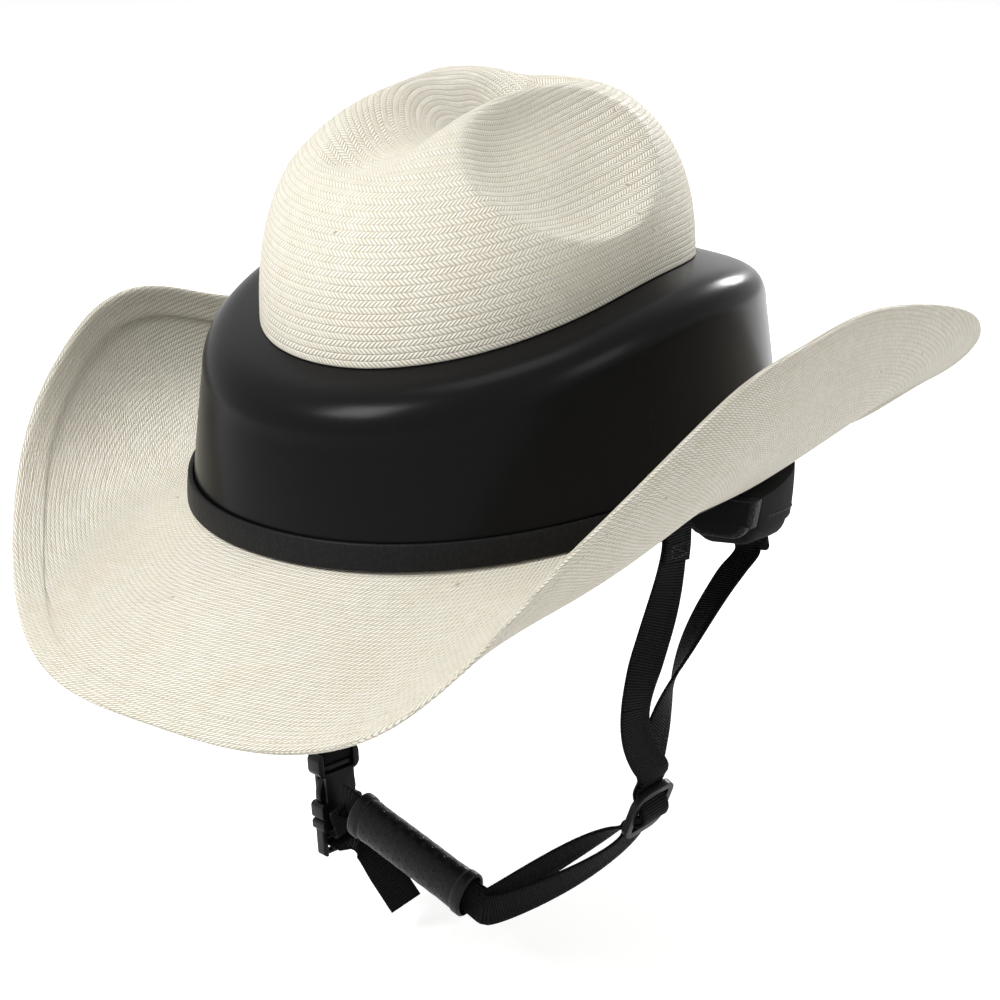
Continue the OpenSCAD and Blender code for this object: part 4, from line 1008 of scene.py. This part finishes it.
# Each end of the pad has a pebbled strip round it and a cloth face inside the strip
def makeNapeEnds():
    start = nape["start"]
    steps = (
        (3.2, -0.5), (3.1, 0.0), (2.9, 0.35), (2.5, 0.5), (1.8, 0.55),
        (1.1, 0.5), (0.6, 0.42), (0.25, 0.35), (0.12, 0.2),
    )
    for side, name in ((1, "left"), (-1, "right")):
        rows = [np.array(napeLoop(start - d, extra, 0.2)) * (side, 1, 1) for d, extra in steps]
        rows = np.array(rows if side > 0 else [r[::-1] for r in rows])
        middle, last = rows[0].mean(axis=0), rows[-1].mean(axis=0)
        outwards = unit(np.cross(rows[0][3] - middle, rows[0][12] - middle))
        outwards = outwards * (1 if outwards @ (middle - last) > 0 else -1)
        spread = rows[0] - middle
        strip = np.concatenate([[middle + (rows[1] - middle) * 0.86, middle + spread * 0.9], rows])
        tips = (middle, strip[-1].mean(axis=0))
        binding = skinMesh("nape_binding_strip_" + name, strip, "binding", tips=tips, crease=60)
        settle(binding, "helmet", "binding", "nape_binding_" + name)
        crowned = [(f, 0.5 * (1 - f**4)) for f in (0.1, 0.3, 0.5, 0.7, 0.84, 0.92)] + [(0.94, -0.3)]
        face = [middle + spread * f + outwards * high for f, high in crowned]
        tips = (middle + outwards * 0.5, middle - outwards * 0.3)
        cap = skinMesh("nape_end_face_" + name, np.array(face), "sweatband", tips=tips, crease=60)
        settle(cap, "helmet", "binding")


makeSweatband()
for side, node in (("brow", "brow_pad"), ("left", "side_pad_left"), ("right", "side_pad_right")):
    makeCushion(side + "_cushion", node, cushions[side])
makeCrownPad()
makeNape()
makeNapeSeam()
makeNapeEnds()
print("sweatband, cushions and nape pad made")


# Places of the glides, the buckle and the sleeve

harness = {
    "webWide": 15.0, "webThick": 1.5, "layer": 1.8, "pass": 3.65, "webEnd": 15.0, "glideReach": 13.8,
    "linkEnd": 11.0, "barLow": 27.8, "drop": 166.0,
    "anchorTurn": 96.0, "anchorInset": 19.0, "anchorTall": 14.0, "loopTurn": 143.0, "loopInset": 11.0,
    "loopSize": (4.0, 20.0, 7.0), "upperCut": 0.68, "linkCut": 0.3,
}


def turnedX(p, a):
    c, s = math.cos(math.radians(a)), math.sin(math.radians(a))
    return np.array([p[0], p[1] * c - p[2] * s, p[1] * s + p[2] * c])


def turnedY(p, a):
    c, s = math.cos(math.radians(a)), math.sin(math.radians(a))
    return np.array([p[0] * c + p[2] * s, p[1], p[2] * c - p[0] * s])


def turnedZ(p, a):
    c, s = math.cos(math.radians(a)), math.sin(math.radians(a))
    return np.array([p[0] * c - p[1] * s, p[0] * s + p[1] * c, p[2]])


def flip(p, side):
    return np.array([p[0] * side, p[1], p[2]], float)


# The left side is 1 and the right side -1, whose places are mirrored by flip
glides = {
    1: {"at": (73, 12, -138), "roll": 10, "lean": 28},
    -1: {"at": (76, -18, -98), "roll": -12, "lean": 8},
}


def alongGlide(q, side):
    return flip(turnedY(turnedX(q, glides[side]["roll"]), glides[side]["lean"]), side)


def atGlide(q, side):
    return flip(glides[side]["at"], side) + alongGlide(q, side)


buckle = {"at": (-70, -26, -harness["drop"]), "roll": 3, "turn": -8}


def alongBuckle(q):
    return turnedZ(turnedX(q, buckle["roll"]), buckle["turn"])


def atBuckle(q):
    return np.array(buckle["at"]) + alongBuckle(q)


sleeve = {
    "long": 67.0, "tall": 21.5, "wide": 15.5, "waist": 0.9, "seamTurn": 4.9, "stitchTurn": 4.72,
    "at": (-15.8, -35.4, -167.2), "slope": 18, "roll": -4,
}


def alongSleeve(q):
    return turnedY(turnedX(q, sleeve["roll"]), sleeve["slope"])


def atSleeve(q):
    return np.array(sleeve["at"]) + alongSleeve(q)


def anchorTop(side):
    t = np.array([harness["anchorTurn"]])
    return flip(lift(rimOval(t, harness["anchorInset"]), ringUnder(t) - 0.2)[0], side)


def loopFoot(t):
    t = np.array([float(t)])
    return lift(rimOval(t, harness["loopInset"]), napeLow(t))[0]


loopRun = loopFoot(harness["loopTurn"] + 4) - loopFoot(harness["loopTurn"] - 4)
loopSlope = math.degrees(math.atan(-loopRun[2] / math.hypot(loopRun[0], loopRun[1])))


def alongLoop(q, side):
    return flip(turnedZ(turnedX(q, -loopSlope), 70), side)


def atLoop(q, side):
    return flip(loopFoot(harness["loopTurn"]) - (0, 0, 0.4), side) + alongLoop(q, side)


# Webbing

def mixed(a, b, f):
    return np.asarray(a, float) * (1 - f) + np.asarray(b, float) * f


def bowed(start, end, bow, steps, late=1.0):
    shares = [i / steps for i in range(steps + 1)]
    return [mixed(start, end, f) + np.array(bow) * math.sin(math.pi * f**late) for f in shares]


def blended(start, end, steps, late=1.0):
    return [mixed(start, end, float(softStep(i / steps)) ** late) for i in range(steps + 1)]


# Direction of a path at each of its points
def runs(path):
    last = len(path) - 1
    return [unit(path[min(i + 1, last)] - path[max(i - 1, 0)]) for i in range(last + 1)]


# Directions across a strap whose face looks the given ways
def facing(path, looks):
    return [np.cross(look, run) for look, run in zip(looks, runs(path))]


# Path moved off its strap's face by d, and by spread more in the middle
def beside(path, across, d, spread=0.0):
    last, moved = len(path) - 1, []
    for i, (p, a, run) in enumerate(zip(path, across, runs(path))):
        face = np.cross(run, unit(a - (a @ run) * run))
        moved.append(p + (d + spread * math.sin(math.pi * (i / last) ** 0.75) ** 2) * face)
    return moved


# Smooth values through the given ones, evenly spaced along the way
def refined(path, across, gap=1.4):
    path, across = np.array(path, float), np.array(across, float)
    last = len(path) - 1
    outPath, outAcross = [], []
    for i in range(last):
        steps = max(int(np.linalg.norm(path[i + 1] - path[i]) / gap), 1)
        for k in range(steps):
            f = k / steps
            for source, target in ((path, outPath), (across, outAcross)):
                before = source[i - 1] if i else 2 * source[0] - source[1]
                after = source[i + 2] if i + 2 <= last else 2 * source[last] - source[last - 1]
                target.append(curve(before, source[i], source[i + 1], after, f))
    return outPath + [path[last]], outAcross + [across[last]]


# Webbing along a path: a flat section with softly rounded edges. part keeps the loops
# between two shares of the length, so that a strap can be cut in pieces.
def webbingMesh(name, path, across, part=(0.0, 1.0), wide=None, thick=None, fine=True, overlap=0.0):
    wide, thick = wide or harness["webWide"], thick or harness["webThick"]
    if fine:
        path, across = refined(path, across)
    w, h = wide / 2, thick / 2
    profile = []
    for k in range(5):
        a = math.pi / 2 - math.pi * k / 4
        profile.append((w - h + h * math.cos(a), h * math.sin(a)))
    profile += [(w * 0.5, -h * 0.94), (0.0, -h * 0.9), (-w * 0.5, -h * 0.94)]
    for k in range(5):
        a = -math.pi / 2 - math.pi * k / 4
        profile.append((-w + h + h * math.cos(a), h * math.sin(a)))
    profile += [(-w * 0.5, h * 0.94), (0.0, h * 0.9), (w * 0.5, h * 0.94)]
    ways = runs(path)
    travelled = np.concatenate([[0], np.cumsum(np.linalg.norm(np.diff(path, axis=0), axis=1))])
    low, high = part[0] * travelled[-1], part[1] * travelled[-1]
    loops, weave = [], []
    for p, a, run, d in zip(path, across, ways, travelled):
        if d < low - 1.5 - overlap or d > high + 1.5 + overlap:
            continue
        side = unit(a - (a @ run) * run)
        face = np.cross(run, side)
        loops.append([p + side * x + face * y for x, y in profile])
        weave.append([(x * metre, d * metre) for x, y in profile] + [(profile[0][0] * metre, d * metre)])
    loops, weave = np.array(loops)[:, ::-1], np.array(weave)[:, ::-1]
    tips = (loops[0].mean(axis=0), loops[-1].mean(axis=0))
    return skinMesh(name, loops, "webbing", tips=tips, weave=weave, crease=65)


def glideLayer(side, x, z):
    return atGlide((x, 0, z), side)


def frontStrap(side):
    half, foldSteps = 6, 2
    top = anchorTop(side) + (side * (harness["webThick"] / 2 - 0.6), 0, -2)
    low = top - (0, 0, harness["anchorTall"] - 1)
    x, z = -harness["pass"] + harness["layer"] / 2, harness["webEnd"] + 0.2
    path = [top] + bowed(low, glideLayer(side, x, z + 5), (-2 * side, -14, 0), 2 * half, 1.9)
    path.append(glideLayer(side, x, z))
    topLook, midLook = flip((1, -0.05, 0), side), flip((0.87, -0.5, 0), side)
    endLook = alongGlide((1, 0, 0), side)
    looks = [topLook] + blended(topLook, midLook, half - 1)
    looks += blended(midLook, endLook, half, 0.45) + [endLook]
    across = facing(path, looks)
    fold = [p + (side * harness["layer"], 0, 0) for p in path[: foldSteps + 1]]
    return path, across, fold, across[: foldSteps + 1]


def rearStrap(side):
    steps = 11
    lap = -harness["loopSize"][0] / 2 - harness["webThick"] / 2 - 0.6
    low = atLoop((lap, 0, -harness["loopSize"][2]), side)
    x, z = -harness["pass"] - harness["layer"] / 2, harness["webEnd"] + 0.2
    path = [atLoop((lap, 0, -1), side)]
    path += bowed(low, glideLayer(side, x - 2.4, z + 9), (-4 * side, -6, 0), steps, 0.85)
    path += [glideLayer(side, x, z + 2.5), glideLayer(side, x, z)]
    # The strap's face is turned backwards at the loop and twists low down, beside the other one
    loopLook, lowLook = flip((0.10, 0.97, 0.1), side), flip((0.97, -0.15, 0.1), side)
    endLook = alongGlide((1, 0, 0), side)
    return path, facing(path, [loopLook] + blended(loopLook, lowLook, steps, 2.6) + [endLook, endLook])


# A strap from the helmet to a glide is cut in two pieces
def makeUpperStraps():
    for side, hand in ((1, "left"), (-1, "right")):
        glideBody = hand + "_glide"
        frontPath, frontAcross, fold, foldAcross = frontStrap(side)
        for kind, (path, across) in (("front", (frontPath, frontAcross)), ("rear", rearStrap(side))):
            node = kind + "_strap_" + hand
            fine, fineAcross = refined(path, across)
            cut = int(len(fine) * harness["upperCut"])
            upper = webbingMesh(node + "_upper", fine[: cut + 1], fineAcross[: cut + 1], fine=False)
            settle(upper, ("helmet", "harness", fine[2], fine[cut - 14]), "webbing", node)
            lower = webbingMesh(node + "_lower", fine[cut:], fineAcross[cut:], fine=False)
            settle(lower, ("harness", glideBody, fine[cut + 3], fine[-6]), "webbing", node)
        piece = webbingMesh("front_strap_" + hand + "_fold", fold, foldAcross)
        settle(piece, ("helmet", "harness", frontPath[0], frontPath[7]), "webbing", "front_strap_" + hand)
        # Box of stitches that joins the two layers below the anchor
        normal = side * np.array([1.0, 0, 0])
        face = fold[1] + normal * (harness["webThick"] / 2)
        corners = ((-5, -1), (5, -1), (5, -6), (-5, -6), (-5, -1), (5, -6))
        for n, ((y0, z0), (y1, z1)) in enumerate(zip(corners, corners[1:])):
            run = [face + (0, y0 + (y1 - y0) * f, z0 + (z1 - z0) * f) for f in np.linspace(0, 1, 5)]
            run = [p + normal * 0.05 + (side * 0.02 * (p[2] - face[2]), 0, 0) for p in run]
            stitchLine(
                f"front_tack_{hand}_{n}", run, [normal] * 5, "thread", "helmet", "webbing",
                pitch=2.2, length=1.7, radius=0.22, sink=0.05,
            )


# Webbing woven through a glide: inside its upper bar, over the middle one, inside the lower
def glideWebbingPath(side):
    step, passBy, edge, mid = 2, harness["pass"], harness["glideReach"] - 4, 1.4
    slotMid = (edge + mid) / 2
    stops = [
        (-passBy, 0, harness["webEnd"]), (-passBy, 0, edge), (-passBy * 0.45, 0, slotMid + 1),
        (passBy * 0.45, 0, slotMid - 1), (passBy, 0, mid), (passBy, 0, 0),
    ]
    upper, last = [], len(stops) - 1
    stops = [np.array(s, float) for s in stops]
    for i in range(last):
        before, after = stops[max(i - 1, 0)], stops[min(i + 2, last)]
        for k in range(step):
            upper.append(curve(before, stops[i], stops[i + 1], after, k / step))
    upper.append(stops[last])
    lower = [np.array([p[0], 0, -p[2]]) for p in upper[len(upper) - 2 : step - 1 : -1]]
    low = harness["linkEnd"] if side > 0 else harness["webEnd"]
    return upper + lower + [np.array([-passBy, 0, -low])]


def makeGlideWebbing():
    for side, hand in ((1, "left"), (-1, "right")):
        path = glideWebbingPath(side)
        across = [np.array([0, 1, 0])] * len(path)
        for n, d in enumerate((-0.5, 0.5)):
            layer = beside(path, across, d * harness["layer"])
            placed = [atGlide(p, side) for p in layer]
            turned = [alongGlide(a, side) * side for a in across]
            piece = webbingMesh(f"glide_webbing_{hand}_{n}", placed, turned)
            settle(piece, hand + "_glide", "webbing", "glide_webbing_" + hand)


sleeveAcross = alongSleeve((0, 0, -1))


def makeLink():
    steps = 14
    layer = np.array([-harness["pass"], 0, -harness["linkEnd"] - 0.2])
    endAcross = alongGlide((0, 1, 0), 1)
    out = sleeve["long"] / 2
    # Bezier curve that leaves the glide and the sleeve along their own directions
    held = [atGlide(layer - (0.5, 0, d), 1) for d in (4.5, 16)]
    held += [atSleeve((out + d, 0, 0)) for d in (12, 8.4)]
    path = [atGlide(layer, 1)]
    for f in np.linspace(0, 1, steps + 1):
        weights = ((1 - f) ** 3, 3 * f * (1 - f) ** 2, 3 * f * f * (1 - f), f**3)
        path.append(sum(w * p for w, p in zip(weights, held)))
    path += [atSleeve((out + d, 0, 0)) for d in (4, 0.5, -10)]
    across = [endAcross] + blended(endAcross, sleeveAcross, steps, 0.55) + [sleeveAcross] * 3
    last = len(path) - 1
    for n, (d, hump) in enumerate(((-0.5, 4.2), (0.5, -1.4))):
        layerPath = beside(path, across, d * harness["layer"], d * 4.0)
        rises = [hump * math.sin(math.pi * (i / last) ** 0.75) ** 2 for i in range(last + 1)]
        layerPath = [p + (0, 0, rise) for p, rise in zip(layerPath, rises)]
        fine, fineAcross = refined(layerPath, across)
        cut = int(len(fine) * harness["linkCut"])
        near = webbingMesh(f"link_near_{n}", fine[: cut + 1], fineAcross[: cut + 1], fine=False)
        settle(near, ("left_glide", "harness", fine[2], fine[cut - 1]), "webbing", "link_webbing")
        far = webbingMesh(f"link_far_{n}", fine[cut:], fineAcross[cut:], fine=False)
        body = ("harness", "chin_strap", fine[cut + 1], atSleeve((out + 6, 0, 0)))
        settle(far, body, "webbing", "link_webbing")


def makeBuckleWebbing():
    r, steps, liftOff = 1.6 + harness["webThick"] / 2 + 0.25, 6, 9
    end = np.array([-harness["pass"], 0, -harness["webEnd"] - 0.2])
    ends = {}
    for key, d in (("down", harness["layer"] / 2), ("up", -harness["layer"] / 2)):
        ends[key] = [atGlide(end + (d, 0, 0), -1), atGlide(end + (d, 0, -2), -1)]
    bar = harness["barLow"]
    turns = np.radians(np.arange(30, 151, 30))
    turn = [atBuckle((-r * math.cos(a), 0, bar - r * math.sin(a))) for a in turns]
    topAcross, barAcross = alongGlide((0, 1, 0), -1), alongBuckle((0, 1, 0))
    twist = blended(topAcross, barAcross, steps)
    path = [ends["down"][0]] + bowed(ends["down"][1], atBuckle((-r, 0, bar + liftOff)), (-0.6, 0, 0), steps)
    path += [atBuckle((-r, 0, bar))] + turn + [atBuckle((r, 0, bar))]
    path += bowed(atBuckle((r, 0, bar + liftOff)), ends["up"][1], (0.4, 0, 0), steps) + [ends["up"][0]]
    across = [topAcross] + twist + [barAcross] * (len(turn) + 2) + twist[::-1] + [topAcross]
    piece = webbingMesh("buckle_strap", path, across)
    body = ("right_glide", "harness", path[1], atBuckle((0, 0, bar + liftOff + 2)))
    settle(piece, body, "webbing", "buckle_webbing")


def makeChinWebbing():
    ladderAcross = alongBuckle((0, -1, 0))
    ladder, wrap = -9.8, 1.4 + harness["webThick"] / 2 + 0.3
    tailAcross = np.array([-0.62, -0.7, -0.34])
    tailFrom = np.array([-57, -21.5, -harness["drop"] - 13])
    tailWay, tailLong = unit((20, 1, -21)), 31
    half = sleeve["long"] / 2
    stops = [(atSleeve((x, 0, 0)), sleeveAcross) for x in (half - 10 - 0.4, 0, 4 - half, -half - 9)]
    stops += [(atBuckle((11.5, -2.5, -2)), mixed(sleeveAcross, ladderAcross, 0.6))]
    stops += [(atBuckle((4.6, 0, ladder + wrap + 0.8)), ladderAcross)]
    for a in np.radians((60, 20, -20, -60)):
        stops.append((atBuckle((-wrap * math.cos(a), 0, ladder + wrap * math.sin(a))), ladderAcross))
    for place in ((2.4, 0, ladder - wrap - 0.3), (5.4, 0.3, ladder - wrap - 0.8)):
        stops.append((atBuckle(place), ladderAcross))
    stops += [(tailFrom, mixed(ladderAcross, tailAcross, 0.7))]
    stops += [(tailFrom + tailWay * tailLong * share, tailAcross) for share in (0.5, 1)]
    path, across = [[np.asarray(stop[k], float) for stop in stops] for k in (0, 1)]
    piece = webbingMesh("chin_strap_webbing", path, across)
    settle(piece, "chin_strap", "webbing", "chin_webbing")


# Closed loop of folded webbing under the nape pad, which carries the rear strap
def makeLoops():
    wide, long, tall = harness["loopSize"]
    r = wide / 2
    for side, hand in ((1, "left"), (-1, "right")):
        profile = [(r * math.cos(a), -tall + (r - r * math.sin(a))) for a in np.linspace(0, math.pi, 13)]
        heights = [-tall + r + (tall - r) * f for f in (0.35, 0.7, 1.0)]
        profile += [(-r, z) for z in heights] + [(-r * 0.35, 0.0), (r * 0.35, 0.0)]
        profile += [(r, z) for z in heights[::-1]]
        loops, weave = [], []
        for f in (-0.5, -0.485, -0.45, -0.25, 0, 0.25, 0.45, 0.485, 0.5):
            pinch = 0.86 if abs(f) > 0.495 else 1.0
            section = [(x * pinch, z * (1 if z > -1 else pinch**0.2)) for x, z in profile]
            loops.append([atLoop((x, long * f, z), side) for x, z in section])
            weave.append([(long * f * metre, v) for v in np.linspace(0, 0.022, len(profile) + 1)])
        loops, weave = np.array(loops), np.array(weave)
        if side > 0:
            loops, weave = loops[:, ::-1], weave[:, ::-1]
        tips = (loops[0].mean(axis=0), loops[-1].mean(axis=0))
        piece = skinMesh("nape_loop_" + hand, loops, "webbing", tips=tips, weave=weave, crease=60)
        settle(piece, "helmet", "webbing", "strap_loop_" + hand)


makeUpperStraps()
makeGlideWebbing()
makeLink()
makeBuckleWebbing()
makeChinWebbing()
makeLoops()
print("webbing made")


# Chin sleeve

# Share of its full size that the sleeve has at x, with a rolled hem and a neck at each end
def sleeveSwell(x):
    fromEnd = sleeve["long"] / 2 - abs(x)
    hem = math.sin(math.pi * np.clip(fromEnd / 5.2, 0, 1)) ** 0.35 * 0.06
    neck = -0.035 * math.exp(-(((fromEnd - 6.0) / 0.8) ** 2))
    body = sleeve["waist"] + 0.03 * math.cos(math.pi * x / sleeve["long"])
    body = body + 0.05 * softStep((abs(x) - 20) / 10)
    end = -0.05 * math.exp(-((fromEnd / 0.6) ** 2))
    return min(body + hem + neck + end, 1.0) if fromEnd > 0.3 else 0.9


# Point on the sleeve's outside, x along it and b round it
def sleevePoint(x, b, f):
    return atSleeve((x, sleeve["wide"] / 2 * f * math.cos(b), sleeve["tall"] / 2 * f * math.sin(b)))


def makeSleeve():
    count = 64
    a = np.arange(count) * 2 * math.pi / count
    half = sleeve["long"] / 2
    bore = (harness["webWide"] / 2 + 1.3, harness["layer"] + 1.9)
    near = (0.1, 0.4, 0.9, 1.6, 2.4, 3.2, 4.0, 4.7, 5.2, 5.6, 6.0, 6.4, 6.9, 7.6, 9, 11)
    stations = [-half + d for d in near]
    stations += list(np.linspace(-half + 14, half - 14, 22)) + [-s for s in stations[::-1]]
    loops = []
    for x in stations:
        f = sleeveSwell(x)
        wrinkle = 0.012 * math.sin(x * 0.9) * math.exp(-((x / 24) ** 4))
        seam = 1 - 0.035 * np.exp(-(((a - sleeve["seamTurn"]) / 0.07) ** 2)) * (abs(x) < half - 6.5)
        w, h = sleeve["wide"] / 2 * (f + wrinkle), sleeve["tall"] / 2 * (f + wrinkle * 0.4)
        loops.append([atSleeve((x, w * math.cos(b) * s, h * math.sin(b) * s)) for b, s in zip(a, seam)])
    # The bore opens towards each mouth, so that the webbing can bend as it comes out
    mouth = [(half - 0.1, 2.4), (half - 0.5, 2.1), (half - 1.4, 1.8), (half - 5, 1.1), (half - 12, 0.3)]
    mouth += [(0, 0)] + [(-x, flare) for x, flare in mouth[::-1]]
    for x, flare in mouth:
        w, h = bore[1] + flare, bore[0] + flare * 0.4
        loops.append([atSleeve((x, w * math.cos(b), h * math.sin(b))) for b in a])
    loops = np.array(loops)
    girthStep = np.linalg.norm(np.diff(loops[20], axis=0, append=loops[20][:1]), axis=1)
    girth = np.concatenate([[0], np.cumsum(girthStep)]) * metre
    # The holes stop before the hems, so the bore takes a place there
    places = np.array([s * metre for s in stations] + [0.0325] * len(mouth))
    weave = np.stack(np.broadcast_arrays(girth[None, :], places[:, None]), axis=-1)
    weave = np.concatenate([weave, weave[:1]])
    piece = skinMesh("padded_sleeve", loops, "sleeve", closed=True, weave=weave, crease=70)
    settle(piece, "sleeve", "sleeve", "chin_sleeve")


# Stitches beside the seam and round the neck of each hem
def makeSleeveStitches():
    turn = sleeve["stitchTurn"]
    line = [sleevePoint(x, turn, sleeveSwell(x)) for x in np.linspace(-24, 24, 30)]
    normals = [alongSleeve((0, math.cos(turn), math.sin(turn)))] * len(line)
    stitchLine(
        "sleeve_seam", line, normals, "thread", "sleeve", "sleeve", pitch=3.0, length=2.1, radius=0.22,
    )
    for end, name in ((-1, "a"), (1, "b")):
        x = end * (sleeve["long"] / 2 - 5.3)
        ring = np.linspace(0, 2 * math.pi, 60)
        line = [sleevePoint(x, b, sleeveSwell(x)) for b in ring]
        normals = [alongSleeve((0, math.cos(b) / sleeve["wide"], math.sin(b) / sleeve["tall"])) for b in ring]
        stitchLine(
            "sleeve_hem_stitch_" + name, line, normals, "thread", "sleeve", "sleeve",
            pitch=2.6, length=1.8, radius=0.2, sink=0.02,
        )


makeSleeve()
makeSleeveStitches()
print("chin sleeve made")


# CAD pieces that keep their shape

dressNodes("plastic", "rim_ring")
dressNodes("screw", "rim_screws")
mouldedParts = {
    "strap_anchor_left": ("helmet", 0.9), "strap_anchor_right": ("helmet", 0.9),
    "glide_left": ("left_glide", 1.25), "glide_right": ("right_glide", 1.25),
    "buckle_socket": ("harness", 1.0), "buckle_plug": ("chin_strap", 0.7),
    "prong_front": ("front_prong", 0.6), "prong_back": ("back_prong", 0.6),
}


# Copy of a CAD part with rounded edges, which stands for it
def softenPart(node, body, radius):
    work = bmesh.new()
    work.from_mesh(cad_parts[node].data)
    bmesh.ops.remove_doubles(work, verts=work.verts, dist=1e-6)
    bmesh.ops.dissolve_limit(work, angle_limit=math.radians(1), verts=work.verts, edges=work.edges)
    mesh = bpy.data.meshes.new(node + "_moulded")
    work.to_mesh(mesh)
    work.free()
    piece = bpy.data.objects.new(node + "_moulded", mesh)
    bpy.context.scene.collection.objects.link(piece)
    rounding = piece.modifiers.new("rounding", "BEVEL")
    rounding.width, rounding.segments = radius * metre, 4
    rounding.limit_method, rounding.angle_limit = "ANGLE", math.radians(32)
    piece.data = bpy.data.meshes.new_from_object(piece.evaluated_get(bpy.context.evaluated_depsgraph_get()))
    piece.modifiers.clear()
    piece.data.materials.clear()
    piece.data.materials.append(paints["plastic"])
    piece.data.polygons.foreach_set("use_smooth", [True] * len(piece.data.polygons))
    piece.data.set_sharp_from_angle(angle=math.radians(40))
    settle(piece, body, "hard_plastic", node)


socketLip = {"long": 16.0, "wide": 5.4, "tall": 3.5, "up": 23.1}


# Moulded lip that closes the socket's slot below the webbing
def makeSocketLip():
    loops, half = [], socketLip["long"] / 2
    for y in (-half - 0.1, -half, -4, 0, 4, half, half + 0.1):
        small = 0.96 if abs(y) > half + 0.05 else 1.0
        w, h = socketLip["wide"] / 2 * small, socketLip["tall"] / 2 * small
        ring = []
        for a in np.linspace(0, 2 * math.pi, 24, endpoint=False):
            c, q = math.cos(a), math.sin(a)
            x, z = w * math.copysign(abs(c) ** 0.5, c), h * math.copysign(abs(q) ** 0.6, q)
            ring.append(atBuckle((x, y, socketLip["up"] + z)))
        loops.append(ring)
    loops = np.array(loops)[::-1]
    tips = (loops[0].mean(axis=0), loops[-1].mean(axis=0))
    piece = skinMesh("socket_lip", loops, "plastic", tips=tips, crease=60)
    settle(piece, "harness", "hard_plastic")


for part, (body, radius) in mouldedParts.items():
    softenPart(part, body, radius)
makeSocketLip()
print("moulded parts rounded:", len(mouldedParts))


# Floor, light and camera

studio = {
    "floorZ": -0.2152, "floorColour": (0.80, 0.80, 0.80), "floorGlow": (0.50, 0.50, 0.50), "ambient": 0.40,
    "lamps": (  # name, place, power, width
        ("keyLamp", (-0.40, -1.42, 1.40), 34.0, 0.8), ("sideLamp", (1.93, 0.30, 1.10), 8.0, 0.8),
        ("backLamp", (-0.30, 1.90, 0.75), 24.0, 0.4), ("topLamp", (-0.2, 0.1, 2.0), 5.0, 0.8),
    ),
    "camera": (0.89142, -0.99261, 0.42436), "lens": 121.97, "shift": (0.00985, -0.035),
    "right": (0.74789, 0.66355, -0.01895), "up": (-0.1877, 0.23876, 0.95276),
    "back": (0.63673, -0.70901, 0.30312),
}


# 1 where the camera, a reflection or glass looks, and 0 for light that is scattered
def seenStraight(p):
    seen = p.node("ShaderNodeLightPath", {}, {}, 0)
    shiny, through = [
        Wire(p, seen.socket.node.outputs[ray]) for ray in ("Is Glossy Ray", "Is Transmission Ray")
    ]
    return (seen + shiny + through).maths("MINIMUM", 1.0)


# The floor glows where it is looked at, and the shadow stays
def makeFloor():
    mesh = bpy.data.meshes.new("studio_floor")
    r, z = 3.2, studio["floorZ"]
    mesh.from_pydata([(-r, -r, z), (r, -r, z), (r, r, z), (-r, r, z)], [], [(0, 1, 2, 3)])
    floor = bpy.data.objects.new("studio_floor", mesh)
    bpy.context.scene.collection.objects.link(floor)
    p = Paint("studioFloor")
    direct = seenStraight(p)
    paper = p.noise(3.0, 2)
    colour = p.mix(paper * 0.3, studio["floorColour"], (0.84, 0.84, 0.84))
    glow = p.mix(direct, (0, 0, 0), studio["floorGlow"])
    constants = {"Specular_IOR_Level": 0.0, "Emission_Color": glow, "Emission_Strength": 1.0}
    mesh.materials.append(p.finish(colour, 0.9, **constants))


def makeLights():
    p = Paint("studioWorld", "worlds")
    strength = seenStraight(p) * (1 - studio["ambient"]) + studio["ambient"]
    sky = p.node("ShaderNodeBackground", {}, {"Color": (1, 1, 1, 1), "Strength": strength})
    p.node("ShaderNodeOutputWorld", {}, [sky])
    bpy.context.scene.world = p.owner
    for name, place, power, size in studio["lamps"]:
        lamp = bpy.data.lights.new(name, "AREA")
        lamp.energy, lamp.size = power, size
        holder = bpy.data.objects.new(name, lamp)
        holder.location = place
        holder.rotation_euler = (-Vector(place)).to_track_quat("-Z", "Y").to_euler()
        bpy.context.scene.collection.objects.link(holder)


def makeCamera():
    lens = bpy.data.cameras.new("photoCamera")
    lens.lens, lens.sensor_width = studio["lens"], 36
    lens.shift_x, lens.shift_y = studio["shift"]
    lens.clip_start, lens.clip_end = 0.05, 20
    camera = bpy.data.objects.new("photoCamera", lens)
    turn = Matrix([studio["right"], studio["up"], studio["back"]]).transposed()
    camera.matrix_world = Matrix.Translation(studio["camera"]) @ turn.to_4x4()
    bpy.context.scene.collection.objects.link(camera)
    bpy.context.scene.camera = camera


makeFloor()
makeLights()
makeCamera()
bpy.context.scene.view_settings.view_transform = "Standard"
print("floor, light and camera made")
